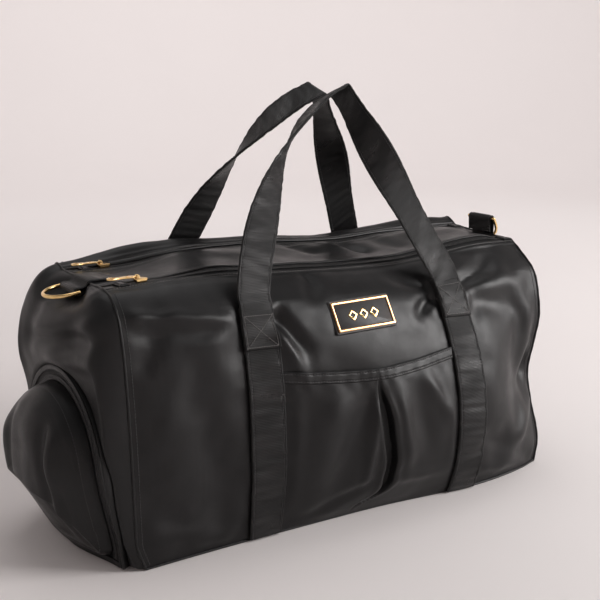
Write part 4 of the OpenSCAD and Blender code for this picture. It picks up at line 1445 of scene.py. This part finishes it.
def make_lining():
    """The lining hangs just inside the walls and ends."""
    skin = Skin()
    t = np.linspace(0.03, 0.965, 56)[None, :]
    for wall in (FRONT, BACK):
        x = -wall.side * spread(-END_X + 6, END_X - 6, 6.0)[:, None]
        loose = 5.5 + 1.2 * (1 + waves(x, 300 * t, 81, 10, 50, 120, 0.5))
        skin.shell(wall.point(x, t) - wall.normal(x, t) * loose[..., None], 0.8)
    centre = np.array([END_X - 5, 0.0, 125.0])
    outline = resampled(end_outline(END_X), 160)
    outline[:, 0] = cornered(END_X - 5, outline[:, 2]) - 2.0
    share = np.linspace(0.03, 1, 30)
    grid = disc(centre + (outline - centre) * 0.955, centre, share)
    grid[..., 0] += waves(grid[..., 1], grid[..., 2], 83, 10, 50, 120, 1.2) * (1 - share**4)
    skin.round_sheet(grid, 0.8, (1, 0, 0))
    skin.build("main_lining", LINING, "lining", ["lining"])
    y = spread(-88, 88, 4.0)[:, None]
    z = spread(184, 262, 4.0)[None, :]
    x = -END_X + 6.0 + waves(y, z, 85, 8, 40, 90, 0.8)
    left = Skin().shell(stacked(x, y * (1 - 0.28 * step(225, 265, z)), z), 0.8, hint=(1, 0, 0))
    left.build("left_end_lining", LINING, "lining")


def make_inner_pocket():
    x = -spread(-90, 90, 3.0)[:, None]
    z = spread(58, 150, 3.0)[None, :]
    across = np.clip(1 - (np.abs(x) / 90) ** 2.6, 0, 1)
    room = 8.5 + 9.0 * across * step(58, 110, z) + waves(-x, z, 87, 8, 30, 80, 0.6)[::-1]
    t = BACK.t_at(x, z)
    grid = BACK.point(x, t) - BACK.normal(x, t) * room[..., None]
    sheet = Skin().shell(grid[::-1], 0.9, hint=(0, -1, 0))
    sheet.build("inner_pocket_cloth", LINING, "lining", ["inner_slip_pocket"])
    Skin().tube(grid[:, -1], 1.1, 8).build("inner_pocket_hem", LINING, "lining")


def make_base_board():
    (x0, y0, z0), (x1, y1, z1) = np.array(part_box("base_board")) / MM
    loops = []
    for inset, z in ((0.8, z0), (0, z0 + 0.5), (0, z1 - 0.5), (0.8, z1)):
        shape = rounded(x1 - x0 - 2 * inset, y1 - y0 - 2 * inset, 14.0)
        loops.append(stacked(shape[:, 0] + (x0 + x1) / 2, shape[:, 1] + (y0 + y1) / 2, z))
    Skin().rings(loops).build("base_board_sheet", BOARD, "board", ["base_board"])


# Metal

HARDWARE = {
    "front_zip_slider": "front_slider", "front_zip_pull": "front_pull",
    "back_zip_slider": "back_slider", "back_zip_pull": "back_pull",
    "shoe_zip_slider": "shoe_slider", "shoe_zip_pull": "shoe_pull",
    "left_d_ring": "left_ring", "right_d_ring": "right_ring",
}


def eased(piece):
    """Welds a piece's points and rounds its hard edges a little."""
    weld = piece.modifiers.new("weld", "WELD")
    weld.merge_threshold = 0.00001
    ease = piece.modifiers.new("ease", "BEVEL")
    ease.width = 0.00028
    ease.segments = 2
    ease.limit_method = "ANGLE"
    ease.angle_limit = math.radians(35)
    ease.use_clamp_overlap = True
    graph = bpy.context.evaluated_depsgraph_get()
    done = bpy.data.meshes.new_from_object(piece.evaluated_get(graph))
    piece.modifiers.clear()
    piece.data = done
    done.polygons.foreach_set("use_smooth", np.ones(len(done.polygons), bool))
    done.set_sharp_from_angle(angle=math.radians(50))
    done.materials.clear()
    done.materials.append(GOLD)


def make_hardware():
    """The CAD's sliders, pulls and rings with their hard edges eased."""
    for node, body in HARDWARE.items():
        piece = linked(f"{node}_metal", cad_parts[node].data.copy())
        eased(piece)
        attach(piece, body)
        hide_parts(node)


# Camera, stage and light

CAMERA_TURN = -34.0
CAMERA_RISE = 13.0
CAMERA_LENS = 63.6
CAMERA_AWAY = 1.19535
CAMERA_TARGET = Vector((-0.00915, 0.0, 0.2156))


def make_camera():
    turn, rise = math.radians(CAMERA_TURN), math.radians(CAMERA_RISE)
    back = Vector((math.sin(turn) * math.cos(rise), -math.cos(turn) * math.cos(rise), math.sin(rise)))
    data = bpy.data.cameras.new("camera")
    data.lens = CAMERA_LENS
    camera = linked("camera", data)
    camera.location = CAMERA_TARGET + back * CAMERA_AWAY
    camera.rotation_euler = (-back).to_track_quat("-Z", "Y").to_euler()
    bpy.context.scene.camera = camera


def linked(name, data):
    """A new object in the scene."""
    made = bpy.data.objects.new(name, data)
    bpy.context.scene.collection.objects.link(made)
    return made


def make_stage():
    """A round pale studio: the floor curves up into a wall on every side."""
    bend = np.linspace(0, math.pi / 2, 14)[1:]
    radius = np.concatenate([np.linspace(0.05, 2.8, 16), 2.8 + 1.4 * np.sin(bend), np.full(5, 4.2)])
    height = np.concatenate([np.zeros(16), 1.4 - 1.4 * np.cos(bend), np.linspace(1.7, 3.0, 5)])
    turn = np.linspace(0, 2 * math.pi, 73)[:-1, None]
    grid = stacked(radius * np.cos(turn), radius * np.sin(turn), height)
    index = numbered(*grid.shape[:2])
    faces = turned_over(cells(looped(index))).tolist() + [list(index[:, 0])]
    mesh = bpy.data.meshes.new("studio_sweep")
    mesh.from_pydata(grid.reshape(-1, 3).tolist(), [], faces)
    mesh.polygons.foreach_set("use_smooth", np.ones(len(mesh.polygons), bool))
    paper = material("backdrop_paper", (0.84, 0.795, 0.785), 0.8, specular=0.15)
    g = Graph(paper)
    g.finish(g.ramp(g.grain(0.6, 2.0), (0.83, 0.785, 0.775), (0.85, 0.81, 0.80)))
    mesh.materials.append(paper)
    linked("studio_sweep", mesh)


def area_light(name, place, target, size, power, colour):
    data = bpy.data.lights.new(name, "AREA")
    data.shape = "RECTANGLE"
    data.size, data.size_y = size
    data.energy = power
    data.color = colour
    lamp = linked(name, data)
    lamp.location = place
    aim = Vector(target) - Vector(place)
    lamp.rotation_euler = aim.to_track_quat("-Z", "Y").to_euler()


def make_light():
    world = bpy.data.worlds.new("studio")
    world.use_nodes = True
    ground = world.node_tree.nodes["Background"]
    ground.inputs["Color"].default_value = (1.0, 0.965, 0.955, 1)
    ground.inputs["Strength"].default_value = 0.22
    bpy.context.scene.world = world
    area_light("key", (1.85, -1.55, 1.2), (0.1, 0, 0.15), (1.1, 1.5), 56.0, (1.0, 0.985, 0.98))
    area_light("top", (0.3, 0.5, 2.3), (0.1, 0.2, 0.1), (1.6, 1.2), 10.0, (1.0, 0.98, 0.98))
    for turn, power in ((62, 34.0), (152, 18.0), (242, 4.0), (-28, 22.0)):
        way = Vector((math.cos(math.radians(turn)), math.sin(math.radians(turn)), 0))
        place, wall = way * 1.9 + Vector((0, 0, 2.5)), way * 4.0 + Vector((0, 0, 0.8))
        area_light(f"wall_{turn}", place, wall, (2.0, 1.0), power, (1.0, 0.98, 0.985))
    bpy.context.scene.view_settings.view_transform = "Standard"


# Cloth simulation

SIM_FRAMES = 18
SIM_CAP = 7.0
GROWTH = 0.016
CLOTH = {
    "quality": 6, "mass": 0.3, "pin_stiffness": 6.0, "vertex_group_mass": "held",
    "tension_stiffness": 12.0, "compression_stiffness": 12.0, "shear_stiffness": 4.8,
    "bending_stiffness": 2.5, "tension_damping": 12.0, "compression_damping": 12.0,
    "air_damping": 4.0, "shrink_min": -GROWTH, "use_pressure": True, "uniform_pressure_force": 0.5,
}


def let_settle(grid, held):
    """Lets a grid of cloth, in millimetres, take its own folds, and returns how far each
    point moved. held is 1 where it is sewn down and 0 where it is free. The cloth is
    slightly too large for its seams and is pressed out by what is inside."""
    index = numbered(*grid.shape[:2])
    mesh = bpy.data.meshes.new("settling")
    mesh.from_pydata((grid * MM).reshape(-1, 3).tolist(), [], cells(index).tolist())
    sheet = linked("settling", mesh)
    group = sheet.vertex_groups.new(name="held")
    for i, weight in enumerate(held.reshape(-1)):
        if weight > 0.01:
            group.add([i], float(weight), "REPLACE")
    cloth = sheet.modifiers.new("cloth", "CLOTH")
    for key, value in CLOTH.items():
        setattr(cloth.settings, key, value)
    cloth.settings.effector_weights.gravity = 0.0
    cloth.collision_settings.use_collision = False
    cloth.point_cache.frame_start = 1
    cloth.point_cache.frame_end = SIM_FRAMES
    for frame_now in range(1, SIM_FRAMES + 1):
        bpy.context.scene.frame_set(frame_now)
    settled = sheet.evaluated_get(bpy.context.evaluated_depsgraph_get())
    moved = np.empty(len(mesh.vertices) * 3)
    settled.data.vertices.foreach_get("co", moved)
    moved = moved.reshape(grid.shape) / MM - grid
    bpy.data.objects.remove(sheet)
    bpy.data.meshes.remove(mesh)
    bpy.context.scene.frame_set(1)
    far = np.linalg.norm(moved, axis=-1, keepdims=True)
    return moved * (SIM_CAP * np.tanh(far / SIM_CAP) / np.maximum(far, 1e-6))


def smoothed(field):
    """The field with its finest ripples evened out."""
    wide = np.pad(field, ((1, 1), (1, 1), (0, 0)), mode="edge")
    wide = (wide[:-2] + 2 * wide[1:-1] + wide[2:]) / 4
    return (wide[:, :-2] + 2 * wide[:, 1:-1] + wide[:, 2:]) / 4


def held_wall(wall, x, t, p):
    """Where a wall is sewn: round its border, under its straps and round the plaque."""
    z = p[..., 2]
    border = np.minimum(step(0, 14, END_X - np.abs(x)), step(0, 12, z))
    border = np.minimum(border, 1 - step(0.80, 0.90, t))
    strap = 1 - bump(np.abs(x), STRAP_X, 15) * (z < ANCHOR_HIGH + 4)
    free = border * np.clip(strap * 1.3 - 0.3, 0, 1)
    if wall.side < 0:
        free = free * (1 - np.clip(1.4 * bump(x, 0, 58) * bump(z, PLAQUE_Z, 34), 0, 1))
        free = free * (1 - 0.92 * (np.abs(x) < POCKET_HALF + 12) * (1 - step(176, 198, z)))
    return 1 - np.clip(free, 0, 1)


def settle_wall(wall):
    """The wall's own folds from a cloth simulation, kept as a field over (x, t)."""
    xs = np.linspace(-END_X, END_X, 108)
    ts = np.linspace(0, 0.93, 62)
    x, t = np.meshgrid(xs, ts, indexing="ij")
    grid = wall.point(x, t)
    moved = let_settle(grid[::-wall.side], held_wall(wall, x, t, grid)[::-wall.side])
    moved = smoothed(smoothed(moved[::-wall.side]))

    def field(x_at, t_at):
        i = np.clip((x_at - xs[0]) / (xs[1] - xs[0]), 0, len(xs) - 1.001)
        j = np.clip((t_at - ts[0]) / (ts[1] - ts[0]), 0, len(ts) - 1.001)
        i0, j0 = i.astype(int), j.astype(int)
        u, v = step(0, 1, i - i0)[..., None], step(0, 1, j - j0)[..., None]
        low = moved[i0, j0] * (1 - u) + moved[i0 + 1, j0] * u
        high = moved[i0, j0 + 1] * (1 - u) + moved[i0 + 1, j0 + 1] * u
        return (low * (1 - v) + high * v) * (1 - step(0.88, 0.93, t_at))[..., None]

    wall.settled = field


# The bag

settle_wall(FRONT)
settle_wall(BACK)
make_camera()
make_stage()
make_light()
make_wall(FRONT, "front_panel")
make_wall(BACK, "back_panel")
make_top_strip(FRONT, "top_front_strip")
make_top_strip(BACK, "top_back_strip")
make_bottom()
make_left_end()
make_right_end()
make_seams()
make_center_panel()
make_zip_stops()
make_top_zips()
for wall, label, seed in ((FRONT, "front", 101), (BACK, "back", 103)):
    for x, end in ((-STRAP_X, "left"), (STRAP_X, "right")):
        make_strap(wall, x, f"{label}_{end}_strap", seed + (x > 0))
        make_anchor(wall, x, f"{label}_{end}_anchor", seed + 20 + (x > 0))
    make_handle(wall, label, seed + 41)
make_pocket()
make_hem()
make_plaque()
make_ring_tabs()
make_shoe_gusset()
make_shoe_zip()
make_shoe_flap()
make_shoe_compartment()
make_lining()
make_inner_pocket()
make_base_board()
make_hardware()
